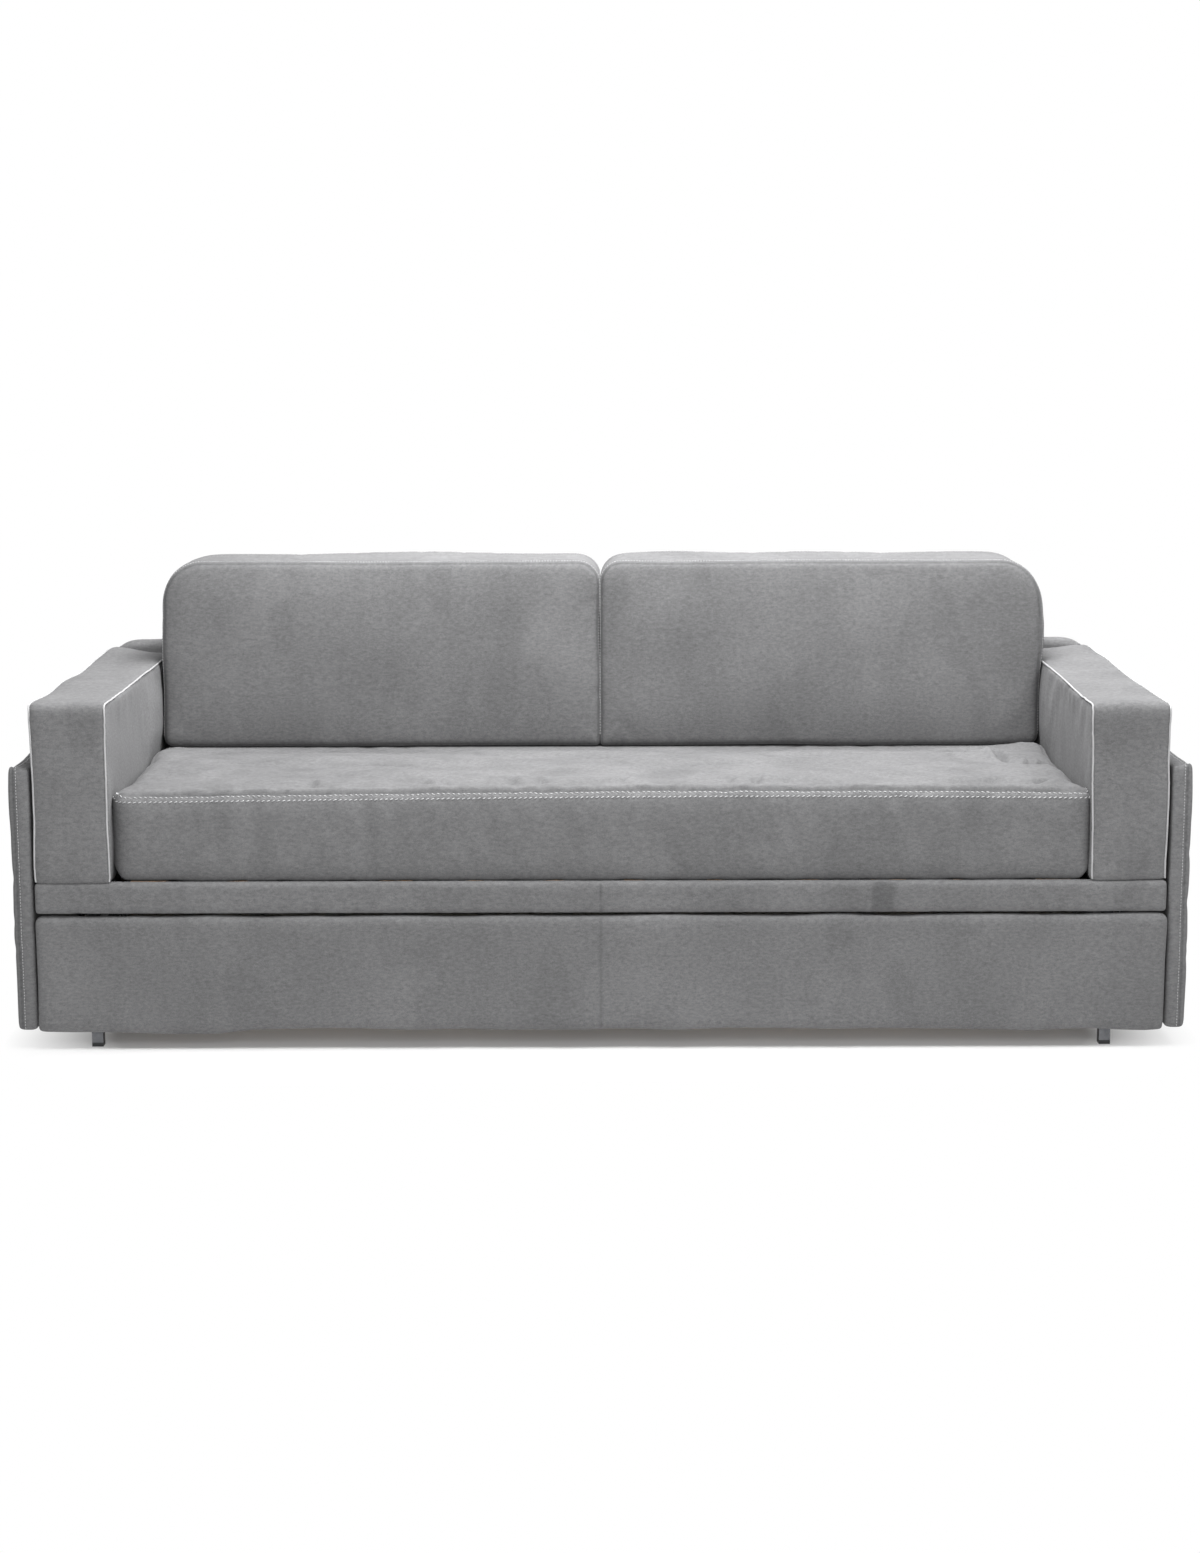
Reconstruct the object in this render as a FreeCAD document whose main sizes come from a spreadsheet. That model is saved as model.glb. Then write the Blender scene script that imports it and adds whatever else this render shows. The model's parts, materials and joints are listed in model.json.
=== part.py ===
# A bunk-bed sofa, folded down as a sofa.
# The base holds the lower bed behind an upholstered front panel. The seat is the upper bed: a steel frame
# with slats, a mattress, two box armrests and a low padded back. At each end two parallel links hang the
# upper bed from the side panel. It swings forward, up and back until it stands level over the lower bed.
# Frame: millimetres, +X to the viewer's right, -Y to the front and +Z up, with the origin on the floor
# under the middle of the sofa.
import FreeCAD
import Part
import Sketcher
import math
import os
import re

# Driving dimensions: name, value, meaning.
DIMENSIONS = (
    ("total_width", 2300, "over the two side panels"),
    ("total_depth", 914, "front panel face to back panel face"),
    ("skirt_bottom", 36, "lower edge of every panel above the floor"),
    ("base_top", 267, "top edge of the front and rear panels"),
    ("side_panel_thickness", 42, "upholstered side panel"),
    ("side_panel_top", 563, "top edge of a side panel above the floor"),
    ("side_panel_setback", 7, "side panel front edge behind the front panel face"),
    ("rear_setback", 1, "side panels and rear band in front of the back panel face"),
    ("padding", 8, "foam and fabric round the side and front boards"),
    ("cover_round", 7, "edge radius of the thin upholstered panels"),
    ("front_panel_depth", 27, "front panel, board and cover"),
    ("backing", 2, "fabric turned round the rear of the front panel"),
    ("panel_gap", 2, "shadow gap between the front panel and a side panel"),
    ("rear_panel_thickness", 18, "rear closing board"),
    ("tube_wall", 2, "wall of the steel tubes"),
    ("base_rail_width", 30, "base tube across"),
    ("base_rail_height", 40, "base tube upright"),
    ("base_rail_bottom", 90, "base tubes above the floor"),
    ("base_end_rail_inset", 28, "base end tube inside the side panel"),
    ("end_plate_thickness", 4, "steel plate on each base rail end"),
    ("end_plate_overlap", 38, "end plate past the rail, towards the middle"),
    ("end_plate_margin", 10, "end plate past the rail, the other three ways"),
    ("leg_size", 22, "square leg tube"),
    ("leg_spread", 994, "leg centre from the middle of the sofa"),
    ("leg_top", 262, "upper end of a leg, under its stop pad"),
    ("glide_height", 8, "plastic foot under a leg"),
    ("stop_pad_height", 12.5, "rubber pad that the upper bed rests on"),
    ("stop_pad_depth", 14, "rubber pad that the upper bed rests on"),
    ("mattress_length", 1906, "both mattresses, in their covers"),
    ("mattress_corner", 28, "rounded upright corner of a mattress"),
    ("mattress_edge", 16, "rounded level edge of a mattress"),
    ("mattress_draw_in", 5, "how far a mattress side draws in between its corners"),
    ("mattress_width", 800, "upper mattress, which is the seat"),
    ("seat_overhang", 14, "seat front before the frame behind the band"),
    ("seat_top", 500, "seat edge above the floor"),
    ("seat_crown", 3, "rise of the seat's middle over its edge"),
    ("lower_mattress_width", 750, "lower mattress"),
    ("lower_mattress_thickness", 109, "lower mattress at its edge"),
    ("lower_crown", 3, "rise of the lower mattress over its edge"),
    ("slat_count", 12, "slats under each mattress"),
    ("slat_width", 68, "one slat"),
    ("slat_thickness", 12, "one slat"),
    ("slat_play", 1, "slat top under the seat mattress"),
    ("band_bottom", 271, "lower edge of the upholstered band under the seat"),
    ("band_top", 333, "top edge of that band, where the armrests stand"),
    ("band_depth", 28, "band in front of the seat's front rail"),
    ("band_setback", 5, "band behind the front panel face"),
    ("band_gap", 4, "band end to side panel"),
    ("band_round", 6, "edge radius of the bands"),
    ("seat_rail_width", 30, "upper bed tube across"),
    ("seat_rail_lift", 4, "upper bed tubes above the band's lower edge"),
    ("bearer_inset", 2, "arm bearer inside the armrest's inner face"),
    ("arm_gap", 14, "armrest to side panel, where the links swing"),
    ("arm_width", 139, "armrest"),
    ("arm_length", 850, "armrest"),
    ("arm_top", 687, "armrest top above the floor"),
    ("arm_padding", 12, "foam and fabric round an armrest frame"),
    ("arm_board", 15, "armrest frame board"),
    ("arm_round", 10, "armrest edge radius"),
    ("back_panel_top", 710, "padded back above the floor"),
    ("back_panel_gap", 2, "back panel behind the armrests and over the rear band"),
    ("back_board_thickness", 18, "board inside the back"),
    ("back_padding", 8, "foam and fabric before and under the back board"),
    ("back_round", 16, "edge radius of the padded back"),
    ("upright_width", 50, "steel strip that holds the back board"),
    ("upright_thickness", 6, "steel strip that holds the back board"),
    ("upright_spread", 700, "outer strips from the middle"),
    ("upright_top", 600, "upper end of a strip"),
    ("upright_play", 0.5, "strip to rear band"),
    ("cushion_top", 908, "back cushion crown above the floor"),
    ("cushion_front", 150, "foot of a back cushion's front face"),
    ("cushion_depth", 214, "back cushion thickness at the seat"),
    ("cushion_lean", 36, "how far the cushion's top front lies behind its foot"),
    ("cushion_crown", 14, "swell of a back cushion's front face"),
    ("cushion_outer_corner", 100, "rounded upper corner beside the armrest"),
    ("cushion_inner_corner", 54, "rounded upper corner between the cushions"),
    ("cushion_edge", 34, "rounded upper front and rear edges"),
    ("cushion_foot", 20, "rounded lower edges"),
    ("cushion_side_corner", 26, "rounded upright corners"),
    ("cushion_draw_in", 5, "how far a cushion's end draws in between its corners"),
    ("cushion_gap", 3, "between the two back cushions"),
    ("cushion_play", 2, "cushion to armrest"),
    ("cushion_lift", 1, "cushion over the seat's crown"),
    ("pivot_behind", 360, "side panel pivots behind the middle"),
    ("upper_pivot_height", 530, "upper link's side panel pivot above the floor"),
    ("pivot_spacing", 100, "lower pivot under the upper one"),
    ("pivot_plate_width", 90, "steel plate behind the side panel pivots"),
    ("pivot_plate_margin", 30, "that plate past its pivots"),
    ("link_reach", 340, "link, pivot to pivot, along the depth and down"),
    ("link_width", 50, "flat steel link"),
    ("link_thickness", 5, "flat steel link"),
    ("link_clearance", 2.8, "link to side panel"),
    ("bush_radius", 11, "outside of a link bush"),
    ("bush_overhang", 0.3, "bush past the link's faces"),
    ("pin_radius", 8, "pivot pin journal"),
    ("pin_head_radius", 13, "pivot pin head"),
    ("pin_head_gap", 2, "pivot pin head to armrest"),
    ("pin_shoulder_radius", 12, "pivot pin shoulder"),
    ("pin_end_play", 0.6, "link to the pin's shoulder, head or collar, and pin to side panel"),
    ("pin_hole_play", 2, "side panel cover round a pin shoulder"),
    ("running_clearance", 0.05, "bush bore over its pin, on the radius"),
    ("rivet_height", 3, "pin head on a hanger's inner face"),
    ("hanger_thickness", 6, "plate that hangs from the upper bed's end"),
    ("hanger_clearance", 2.2, "hanger plate to link"),
    ("hanger_width", 80, "hanger plate"),
    ("bolt_radius", 4, "bolt shank"),
    ("bolt_head_radius", 8, "bolt head or nut"),
    ("bolt_head_height", 4, "bolt head"),
    ("nut_height", 6, "nut inside an end rail"),
    ("bolt_clearance", 0.3, "hole over a bolt or lock pin, on the radius"),
    ("tip_cover", 6, "board left over a pin, bolt or lock tip"),
    ("hole_relief", 2, "hole past that tip"),
    ("lock_radius", 120, "lock hole from the lower link's side panel pivot"),
    ("lock_hole_radius", 5.5, "lock hole"),
    ("lock_pin_radius", 5, "lock pin"),
    ("lock_setback", 0.5, "drawn-back lock pin past the side panel's inner face"),
    ("lock_travel", 8, "slide of the lock"),
    ("lock_rod_radius", 4, "upright rod of the lock"),
    ("lock_rod_inset", 20, "that rod inside the panel's inner face"),
    ("lock_slot_play", 1, "slot round that rod"),
    ("lock_knob_radius", 7, "thumb knob of the lock"),
    ("lock_knob_lift", 6, "knob over the side panel"),
    ("lock_knob_height", 10, "knob"),
)
NAMES = {row[0] for row in DIMENSIONS}
SIDES = ("left", "right")

doc = FreeCAD.newDocument("bunk_sofa")
sheet = doc.addObject("Spreadsheet::Sheet", "Sizes")
for row, (alias, value, meaning) in enumerate(DIMENSIONS, start=1):
    sheet.set(f"A{row}", alias)
    sheet.set(f"B{row}", str(value))
    sheet.setAlias(f"B{row}", alias)
    sheet.set(f"C{row}", meaning)
doc.recompute()

# Places that several pieces share, as expressions of the driving dimensions.
FRONT = "(-total_depth / 2)"
BACK = "(total_depth / 2)"
PANEL_OUTER = "(total_width / 2)"
PANEL_INNER = "(total_width / 2 - side_panel_thickness)"
PANEL_FRONT = f"({FRONT} + side_panel_setback)"
PANEL_BACK = f"({BACK} - rear_setback)"
CORE_INNER = f"({PANEL_INNER} + padding)"
CORE_OUTER = f"({PANEL_OUTER} - padding)"
TIP = f"({CORE_OUTER} - tip_cover)"
PLATE_INNER = f"({CORE_INNER} - end_plate_thickness)"
RAIL_END = f"({PANEL_INNER} - end_plate_thickness)"
LINK_OUTER = f"({PANEL_INNER} - link_clearance)"
LINK_INNER = f"({LINK_OUTER} - link_thickness)"
SHOULDER = f"({LINK_OUTER} + pin_end_play)"
COLLAR = f"({LINK_INNER} - pin_end_play)"
HANGER_OUTER = f"({LINK_INNER} - hanger_clearance)"
HANGER_INNER = f"({HANGER_OUTER} - hanger_thickness)"
END_RAIL_INNER = f"({HANGER_INNER} - seat_rail_width)"
ARM_OUTER = f"({PANEL_INNER} - arm_gap)"
ARM_INNER = f"({ARM_OUTER} - arm_width)"
ARM_FRONT = PANEL_FRONT
ARM_BACK = f"({ARM_FRONT} + arm_length)"
BACK_FRONT = f"({ARM_BACK} + back_panel_gap)"
BOARD_FRONT = f"({BACK_FRONT} + back_padding)"
BOARD_BACK = f"({BOARD_FRONT} + back_board_thickness)"
LEG_FRONT = f"({FRONT} + front_panel_depth)"
RAIL_FRONT = f"({LEG_FRONT} + leg_size)"
RAIL_BACK = f"({RAIL_FRONT} + base_rail_width)"
BASE_RAIL_TOP = "(base_rail_bottom + base_rail_height)"
SEAT_RAIL_BOTTOM = "(band_bottom + seat_rail_lift)"
SEAT_RAIL_TOP = "(band_top - slat_play - slat_thickness)"
SEAT_FRONT = f"({FRONT} + band_setback + band_depth)"
LOWER_PIVOT_HEIGHT = "(upper_pivot_height - pivot_spacing)"
HANGER_Y = "(pivot_behind - link_reach)"
PANEL_BOLT_Y = f"({RAIL_BACK} + end_plate_overlap / 2)"
PANEL_BOLT_Z = "(base_rail_bottom + base_rail_height / 2)"
BOLT_HOLE = "bolt_radius + bolt_clearance"
LOCK_OFFSET = "(lock_radius * sqrt(2) / 2)"
LOCK_Y = f"(pivot_behind - {LOCK_OFFSET})"
LOCK_Z = f"({LOWER_PIVOT_HEIGHT} + {LOCK_OFFSET})"
LOCK_ROD_X = f"({PANEL_INNER} + lock_rod_inset)"

# The two pivots at each end, upper first, by their height on the side panel.
PIVOTS = {"upper": "upper_pivot_height", "lower": LOWER_PIVOT_HEIGHT}

# Where a hanger is bolted to its end rail.
HANGER_BOLT_Z = f"(({SEAT_RAIL_BOTTOM} + band_top) / 2)"
HANGER_BOLTS = {
    "front_bolt": (f"({HANGER_Y} - hanger_width / 4)", HANGER_BOLT_Z),
    "rear_bolt": (f"({HANGER_Y} + hanger_width / 4)", HANGER_BOLT_Z),
}

parts = {}


def sized(expression):
    """The expression with each driving dimension read from the sheet."""
    return re.sub(r"[a-z][a-z_]*", lambda m: f"Sizes.{m[0]}" if m[0] in NAMES else m[0], expression)


def size(name):
    """A driving dimension's value, for the shapes that are drawn in code."""
    return float(sheet.get(name))


def place(expression):
    """The value of an expression of the driving dimensions."""
    return float(sheet.evalExpression(sized(expression)))


def bind(target, **expressions):
    """Binds properties to expressions. A double underscore stands for a dot."""
    for name, expression in expressions.items():
        target.setExpression(name.replace("__", "."), sized(expression))
    return target


def part(name, shape_object):
    """Registers a finished sub-part under its own name."""
    shape_object.Label = name
    parts[name] = shape_object


def outward(side, low, high):
    """An X span given from the middle outwards, on the named side."""
    return (low, high) if side == "right" else (f"-({high})", f"-({low})")


def rearward(end, low, high):
    """A Y span given for the front, or mirrored to the rear."""
    return (low, high) if end == "front" else (f"-({high})", f"-({low})")


def box(name, x, y, z):
    """A block between three pairs of expressions."""
    block = doc.addObject("Part::Box", name)
    bind(block, Length=f"({x[1]}) - ({x[0]})", Width=f"({y[1]}) - ({y[0]})", Height=f"({z[1]}) - ({z[0]})")
    return bind(block, Placement__Base__x=x[0], Placement__Base__y=y[0], Placement__Base__z=z[0])


def rod_x(name, radius, x, y, z):
    """A cylinder along X between a pair of expressions."""
    rod = doc.addObject("Part::Cylinder", name)
    rod.Placement = FreeCAD.Placement(FreeCAD.Vector(), FreeCAD.Rotation(FreeCAD.Vector(0, 1, 0), 90))
    bind(rod, Radius=radius, Height=f"({x[1]}) - ({x[0]})")
    return bind(rod, Placement__Base__x=x[0], Placement__Base__y=y, Placement__Base__z=z)


def rod_z(name, radius, x, y, z):
    """An upright cylinder between a pair of expressions."""
    rod = doc.addObject("Part::Cylinder", name)
    bind(rod, Radius=radius, Height=f"({z[1]}) - ({z[0]})")
    return bind(rod, Placement__Base__x=x, Placement__Base__y=y, Placement__Base__z=z[0])


def joined(name, pieces):
    """One solid, or one cutting tool, out of several."""
    if len(pieces) == 1:
        return pieces[0]
    whole = doc.addObject("Part::MultiFuse", name)
    whole.Shapes = pieces
    return whole


def cut(name, base, tools):
    """The base without the tools."""
    rest = doc.addObject("Part::Cut", name)
    rest.Base = base
    rest.Tool = joined(f"{name}_tools", tools)
    return rest


def group(name, pieces):
    """Several loose pieces in one sub-part."""
    whole = doc.addObject("Part::Compound", name)
    whole.Links = pieces
    part(name, whole)


def turned(name, side, steps, y, z):
    """A stepped pin along X, from steps of a radius and an outward span."""
    rods = [
        rod_x(f"{name}_{label}", radius, outward(side, low, high), y, z)
        for label, radius, low, high in steps
    ]
    return joined(name, rods)


def tube(name, along, x, y, z, holes=()):
    """A square steel tube along one axis, with any holes through it."""
    bore = []
    for axis, (low, high) in zip("xyz", (x, y, z)):
        wall = "-tube_wall" if axis == along else "tube_wall"
        bore.append((f"{low} + {wall}", f"{high} - {wall}"))
    return cut(name, box(f"{name}_outer", x, y, z), [box(f"{name}_bore", *bore), *holes])


def origin_plane(body, role):
    """One of a body's own origin planes."""
    return next(plane for plane in body.Origin.OriginFeatures if plane.Role == role)


def body_sketch(name, role):
    """A new body with an empty sketch on one of its origin planes."""
    body = doc.addObject("PartDesign::Body", name)
    sketch = body.newObject("Sketcher::SketchObject", f"{name}_profile")
    sketch.AttachmentSupport = [(origin_plane(body, role), "")]
    sketch.MapMode = "FlatFace"
    return body, sketch


def pad(body, sketch, length):
    """Pads a body's sketch by an expression."""
    feature = body.newObject("PartDesign::Pad", f"{body.Name}_pad")
    feature.Profile = sketch
    return bind(feature, Length=length)


def dimension(sketch, name, expression, kind, *geometry):
    """Adds a sketch dimension that follows an expression."""
    index = sketch.addConstraint(Sketcher.Constraint(kind, *geometry, place(expression)))
    sketch.renameConstraint(index, name)
    sketch.setExpression(f"Constraints.{name}", sized(expression))


def rounded_block(name, x, y, z, radius):
    """An upholstered block: a padded rectangle with every edge rounded."""
    body, sketch = body_sketch(name, "XY_Plane")
    width, depth = (f"({high}) - ({low})" for low, high in (x, y))
    wide, deep = place(width), place(depth)
    corners = [FreeCAD.Vector(*p, 0) for p in ((0, 0), (wide, 0), (wide, deep), (0, deep))]
    for i in range(4):
        sketch.addGeometry(Part.LineSegment(corners[i], corners[(i + 1) % 4]))
    for i in range(4):
        sketch.addConstraint(Sketcher.Constraint("Coincident", i, 2, (i + 1) % 4, 1))
    for line, direction in enumerate(("Horizontal", "Vertical", "Horizontal", "Vertical")):
        sketch.addConstraint(Sketcher.Constraint(direction, line))
    sketch.addConstraint(Sketcher.Constraint("Coincident", 0, 1, -1, 1))
    dimension(sketch, "wide", width, "DistanceX", 0, 1, 0, 2)
    dimension(sketch, "deep", depth, "DistanceY", 1, 1, 1, 2)
    block = pad(body, sketch, f"({z[1]}) - ({z[0]})")
    doc.recompute()
    rounding = body.newObject("PartDesign::Fillet", f"{name}_rounding")
    rounding.Base = (block, [f"Edge{i}" for i in range(1, len(block.Shape.Edges) + 1)])
    bind(rounding, Radius=radius)
    return bind(body, Placement__Base__x=x[0], Placement__Base__y=y[0], Placement__Base__z=z[0])


def centred(sketch, name, curve, centre):
    """Holds a circle's or an arc's centre at a pair of expressions."""
    dimension(sketch, f"{name}_y", centre[0], "DistanceX", -1, 1, curve, 3)
    dimension(sketch, f"{name}_z", centre[1], "DistanceY", -1, 1, curve, 3)


def hole(sketch, name, centre, radius):
    """A round hole in a YZ sketch, at a pair of expressions."""
    middle = FreeCAD.Vector(place(centre[0]), place(centre[1]), 0)
    circle = sketch.addGeometry(Part.Circle(middle, FreeCAD.Vector(0, 0, 1), place(radius)))
    centred(sketch, name, circle, centre)
    dimension(sketch, f"{name}_radius", radius, "Radius", circle)


def link(name, side, pivot_height, lock_hole=False):
    """A flat link with round ends, from its side panel pivot forward and down to its hanger pivot."""
    body, sketch = body_sketch(name, "YZ_Plane")
    rear = ("pivot_behind", pivot_height)
    front = (HANGER_Y, f"{pivot_height} - link_reach")
    ends = [FreeCAD.Vector(place(y), place(z), 0) for y, z in (rear, front)]
    along = (ends[1] - ends[0]).normalize()
    aside = FreeCAD.Vector(-along.y, along.x, 0)
    half = size("link_width") / 2
    turn = math.atan2(aside.y, aside.x)
    up = FreeCAD.Vector(0, 0, 1)
    sketch.addGeometry(Part.ArcOfCircle(Part.Circle(ends[0], up, half), turn, turn + math.pi))
    sketch.addGeometry(Part.LineSegment(ends[0] - aside * half, ends[1] - aside * half))
    sketch.addGeometry(Part.ArcOfCircle(Part.Circle(ends[1], up, half), turn + math.pi, turn + 2 * math.pi))
    sketch.addGeometry(Part.LineSegment(ends[1] + aside * half, ends[0] + aside * half))
    for i in range(4):
        sketch.addConstraint(Sketcher.Constraint("Tangent", i, 2, (i + 1) % 4, 1))
    centred(sketch, "rear_end", 0, rear)
    centred(sketch, "front_end", 2, front)
    dimension(sketch, "round_end", "link_width / 2", "Radius", 0)
    hole(sketch, "rear_bush", rear, "bush_radius")
    hole(sketch, "front_bush", front, "bush_radius")
    if lock_hole:
        hole(sketch, "lock_hole", (LOCK_Y, f"{pivot_height} - {LOCK_OFFSET}"), "lock_hole_radius")
    pad(body, sketch, "link_thickness")
    bind(body, Placement__Base__x=outward(side, LINK_INNER, LINK_OUTER)[0])
    part(name, body)
    bushes = []
    span = outward(side, f"{LINK_INNER} - bush_overhang", f"{LINK_OUTER} + bush_overhang")
    for label, (y, z) in (("rear", rear), ("front", front)):
        ring = rod_x(f"{name}_{label}_ring", "bush_radius", span, y, z)
        bore = rod_x(f"{name}_{label}_bore", "pin_radius + running_clearance", span, y, z)
        bushes.append(cut(f"{name}_{label}_bush", ring, [bore]))
    group(f"{name}_bushes", bushes)


def hanger(side):
    """The plate that hangs from the upper bed's end rail, with a round foot, pin holes and bolt holes."""
    name = f"hanger_{side}"
    body, sketch = body_sketch(name, "YZ_Plane")
    half = size("hanger_width") / 2
    middle = place(HANGER_Y)
    low_pin = (HANGER_Y, f"({LOWER_PIVOT_HEIGHT} - link_reach)")
    low, high = place(low_pin[1]), size("band_top")
    rear, front = middle + half, middle - half
    foot = Part.Circle(FreeCAD.Vector(middle, low, 0), FreeCAD.Vector(0, 0, 1), half)
    sketch.addGeometry(Part.ArcOfCircle(foot, math.pi, 2 * math.pi))
    corners = [FreeCAD.Vector(*p, 0) for p in ((rear, low), (rear, high), (front, high), (front, low))]
    for i in range(3):
        sketch.addGeometry(Part.LineSegment(corners[i], corners[i + 1]))
    sketch.addConstraint(Sketcher.Constraint("Tangent", 0, 2, 1, 1))
    sketch.addConstraint(Sketcher.Constraint("Coincident", 1, 2, 2, 1))
    sketch.addConstraint(Sketcher.Constraint("Coincident", 2, 2, 3, 1))
    sketch.addConstraint(Sketcher.Constraint("Tangent", 3, 2, 0, 1))
    sketch.addConstraint(Sketcher.Constraint("Horizontal", 2))
    sketch.addConstraint(Sketcher.Constraint("Vertical", 1))
    centred(sketch, "foot", 0, low_pin)
    dimension(sketch, "half_width", "hanger_width / 2", "Radius", 0)
    dimension(sketch, "top", "band_top", "DistanceY", -1, 1, 1, 2)
    hole(sketch, "lower_pin", low_pin, "pin_radius")
    hole(sketch, "upper_pin", (HANGER_Y, "upper_pivot_height - link_reach"), "pin_radius")
    for label, centre in HANGER_BOLTS.items():
        hole(sketch, label, centre, BOLT_HOLE)
    pad(body, sketch, "hanger_thickness")
    bind(body, Placement__Base__x=outward(side, HANGER_INNER, HANGER_OUTER)[0])
    part(name, body)


def base_frame():
    """The base: rails, legs, feet and the stop pads that the upper bed rests on."""
    rail_x = (f"-{RAIL_END}", RAIL_END)
    rail_z = ("base_rail_bottom", BASE_RAIL_TOP)
    for end in ("front", "rear"):
        name = f"base_{end}_rail"
        part(name, tube(name, "x", rail_x, rearward(end, RAIL_FRONT, RAIL_BACK), rail_z))
    inner_y = (RAIL_BACK, f"-{RAIL_BACK}")
    end_outer = f"({PANEL_INNER} - base_end_rail_inset)"
    for side in SIDES:
        name = f"base_end_rail_{side}"
        end_x = outward(side, f"{end_outer} - base_rail_width", end_outer)
        part(name, tube(name, "y", end_x, inner_y, rail_z))
    bearer_x = ("-base_rail_width / 2", "base_rail_width / 2")
    part("base_centre_bearer", tube("base_centre_bearer", "y", bearer_x, inner_y, rail_z))
    legs, glides, pads = [], [], []
    for side in SIDES:
        leg_x = outward(side, "leg_spread - leg_size / 2", "leg_spread + leg_size / 2")
        for end in ("front", "rear"):
            tag = f"{end}_{side}"
            leg_y = rearward(end, LEG_FRONT, RAIL_FRONT)
            pad_y = rearward(end, f"{RAIL_FRONT} - stop_pad_depth", RAIL_FRONT)
            legs.append(tube(f"leg_{tag}", "z", leg_x, leg_y, ("glide_height", "leg_top")))
            glides.append(box(f"glide_{tag}", leg_x, leg_y, ("0", "glide_height")))
            pads.append(box(f"stop_pad_{tag}", leg_x, pad_y, ("leg_top", "leg_top + stop_pad_height")))
    centre = ("-leg_size / 2", "leg_size / 2")
    legs.append(tube("leg_centre", "z", centre, centre, ("glide_height", "base_rail_bottom")))
    glides.append(box("glide_centre", centre, centre, ("0", "glide_height")))
    group("base_legs", legs)
    group("foot_glides", glides)
    group("stop_pads", pads)


def rail_ends():
    """Steel plates and bolts that fix the base rails to the side panels."""
    plates, bolts = [], []
    plate_z = ("base_rail_bottom - end_plate_margin", f"{BASE_RAIL_TOP} + end_plate_margin")
    for side in SIDES:
        plate_x = outward(side, RAIL_END, PANEL_INNER)
        for end in ("front", "rear"):
            tag = f"{end}_{side}"
            plate_y = rearward(end, f"{RAIL_FRONT} - end_plate_margin", f"{RAIL_BACK} + end_plate_overlap")
            bolt_y = PANEL_BOLT_Y if end == "front" else f"-{PANEL_BOLT_Y}"
            blank = box(f"end_plate_blank_{tag}", plate_x, plate_y, plate_z)
            drilled = rod_x(f"end_plate_hole_{tag}", BOLT_HOLE, plate_x, bolt_y, PANEL_BOLT_Z)
            plates.append(cut(f"end_plate_{tag}", blank, [drilled]))
            steps = (
                ("head", "bolt_head_radius", f"{RAIL_END} - bolt_head_height", RAIL_END),
                ("shank", "bolt_radius", RAIL_END, TIP),
            )
            bolts.append(turned(f"panel_bolt_{tag}", side, steps, bolt_y, PANEL_BOLT_Z))
    group("rail_end_plates", plates)
    group("panel_bolts", bolts)


def slats(name, y, bottom):
    """Beech slats across a bed, evenly spread under its mattress."""
    step = "((mattress_length - 2 * slat_width) / (slat_count - 1))"
    z = (bottom, f"{bottom} + slat_thickness")
    pieces = []
    for i in range(int(size("slat_count"))):
        left = f"-mattress_length / 2 + slat_width / 2 + {i} * {step}"
        pieces.append(box(f"{name}_{i + 1}", (left, f"{left} + slat_width"), y, z))
    group(name, pieces)


def base_panels():
    """The upholstered front panel on its board, and the plain rear panel."""
    outer_x = (f"-{PANEL_INNER} + panel_gap", f"{PANEL_INNER} - panel_gap")
    outer_z = ("skirt_bottom", "base_top")
    board = (
        (f"{outer_x[0]} + padding", f"{outer_x[1]} - padding"),
        (f"{FRONT} + padding", f"{LEG_FRONT} - backing"),
        ("skirt_bottom + padding", "base_top - padding"),
    )
    part("front_panel_board", box("front_panel_board", *board))
    form = rounded_block("front_panel_form", outer_x, (FRONT, LEG_FRONT), outer_z, "cover_round")
    part("front_panel_cover", cut("front_panel_cover", form, [box("front_panel_cavity", *board)]))
    rear_y = rearward("rear", f"{LEG_FRONT} - rear_panel_thickness", LEG_FRONT)
    part("rear_panel", box("rear_panel", outer_x, rear_y, outer_z))


def panel_bolt_holes(tag, side):
    """Clearance for the two bolts of one side panel."""
    span = outward(side, PANEL_INNER, f"{TIP} + hole_relief")
    return [
        rod_x(f"{tag}_bolt_hole_{end}_{side}", BOLT_HOLE, span, y, PANEL_BOLT_Z)
        for end, y in (("front", PANEL_BOLT_Y), ("rear", f"-{PANEL_BOLT_Y}"))
    ]


def pivot_holes(tag, side, radius, low, high):
    """Holes for the two pivot pins of one side panel."""
    span = outward(side, low, high)
    return [rod_x(f"{tag}_{k}_{side}", radius, span, "pivot_behind", z) for k, z in PIVOTS.items()]


def lock_clearance(tag, side):
    """The bore for the lock pin and the slot for its upright rod."""
    room = "lock_rod_radius + lock_slot_play"
    bore_x = outward(side, f"{PANEL_INNER} - lock_setback", f"{TIP} + hole_relief")
    slot_x = outward(side, f"{LOCK_ROD_X} - lock_travel - ({room})", f"{LOCK_ROD_X} + {room}")
    slot_y = (f"{LOCK_Y} - ({room})", f"{LOCK_Y} + {room}")
    return [
        rod_x(f"{tag}_lock_bore_{side}", "lock_pin_radius + bolt_clearance", bore_x, LOCK_Y, LOCK_Z),
        box(f"{tag}_lock_slot_{side}", slot_x, slot_y, (LOCK_Z, "side_panel_top + lock_slot_play")),
    ]


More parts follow.
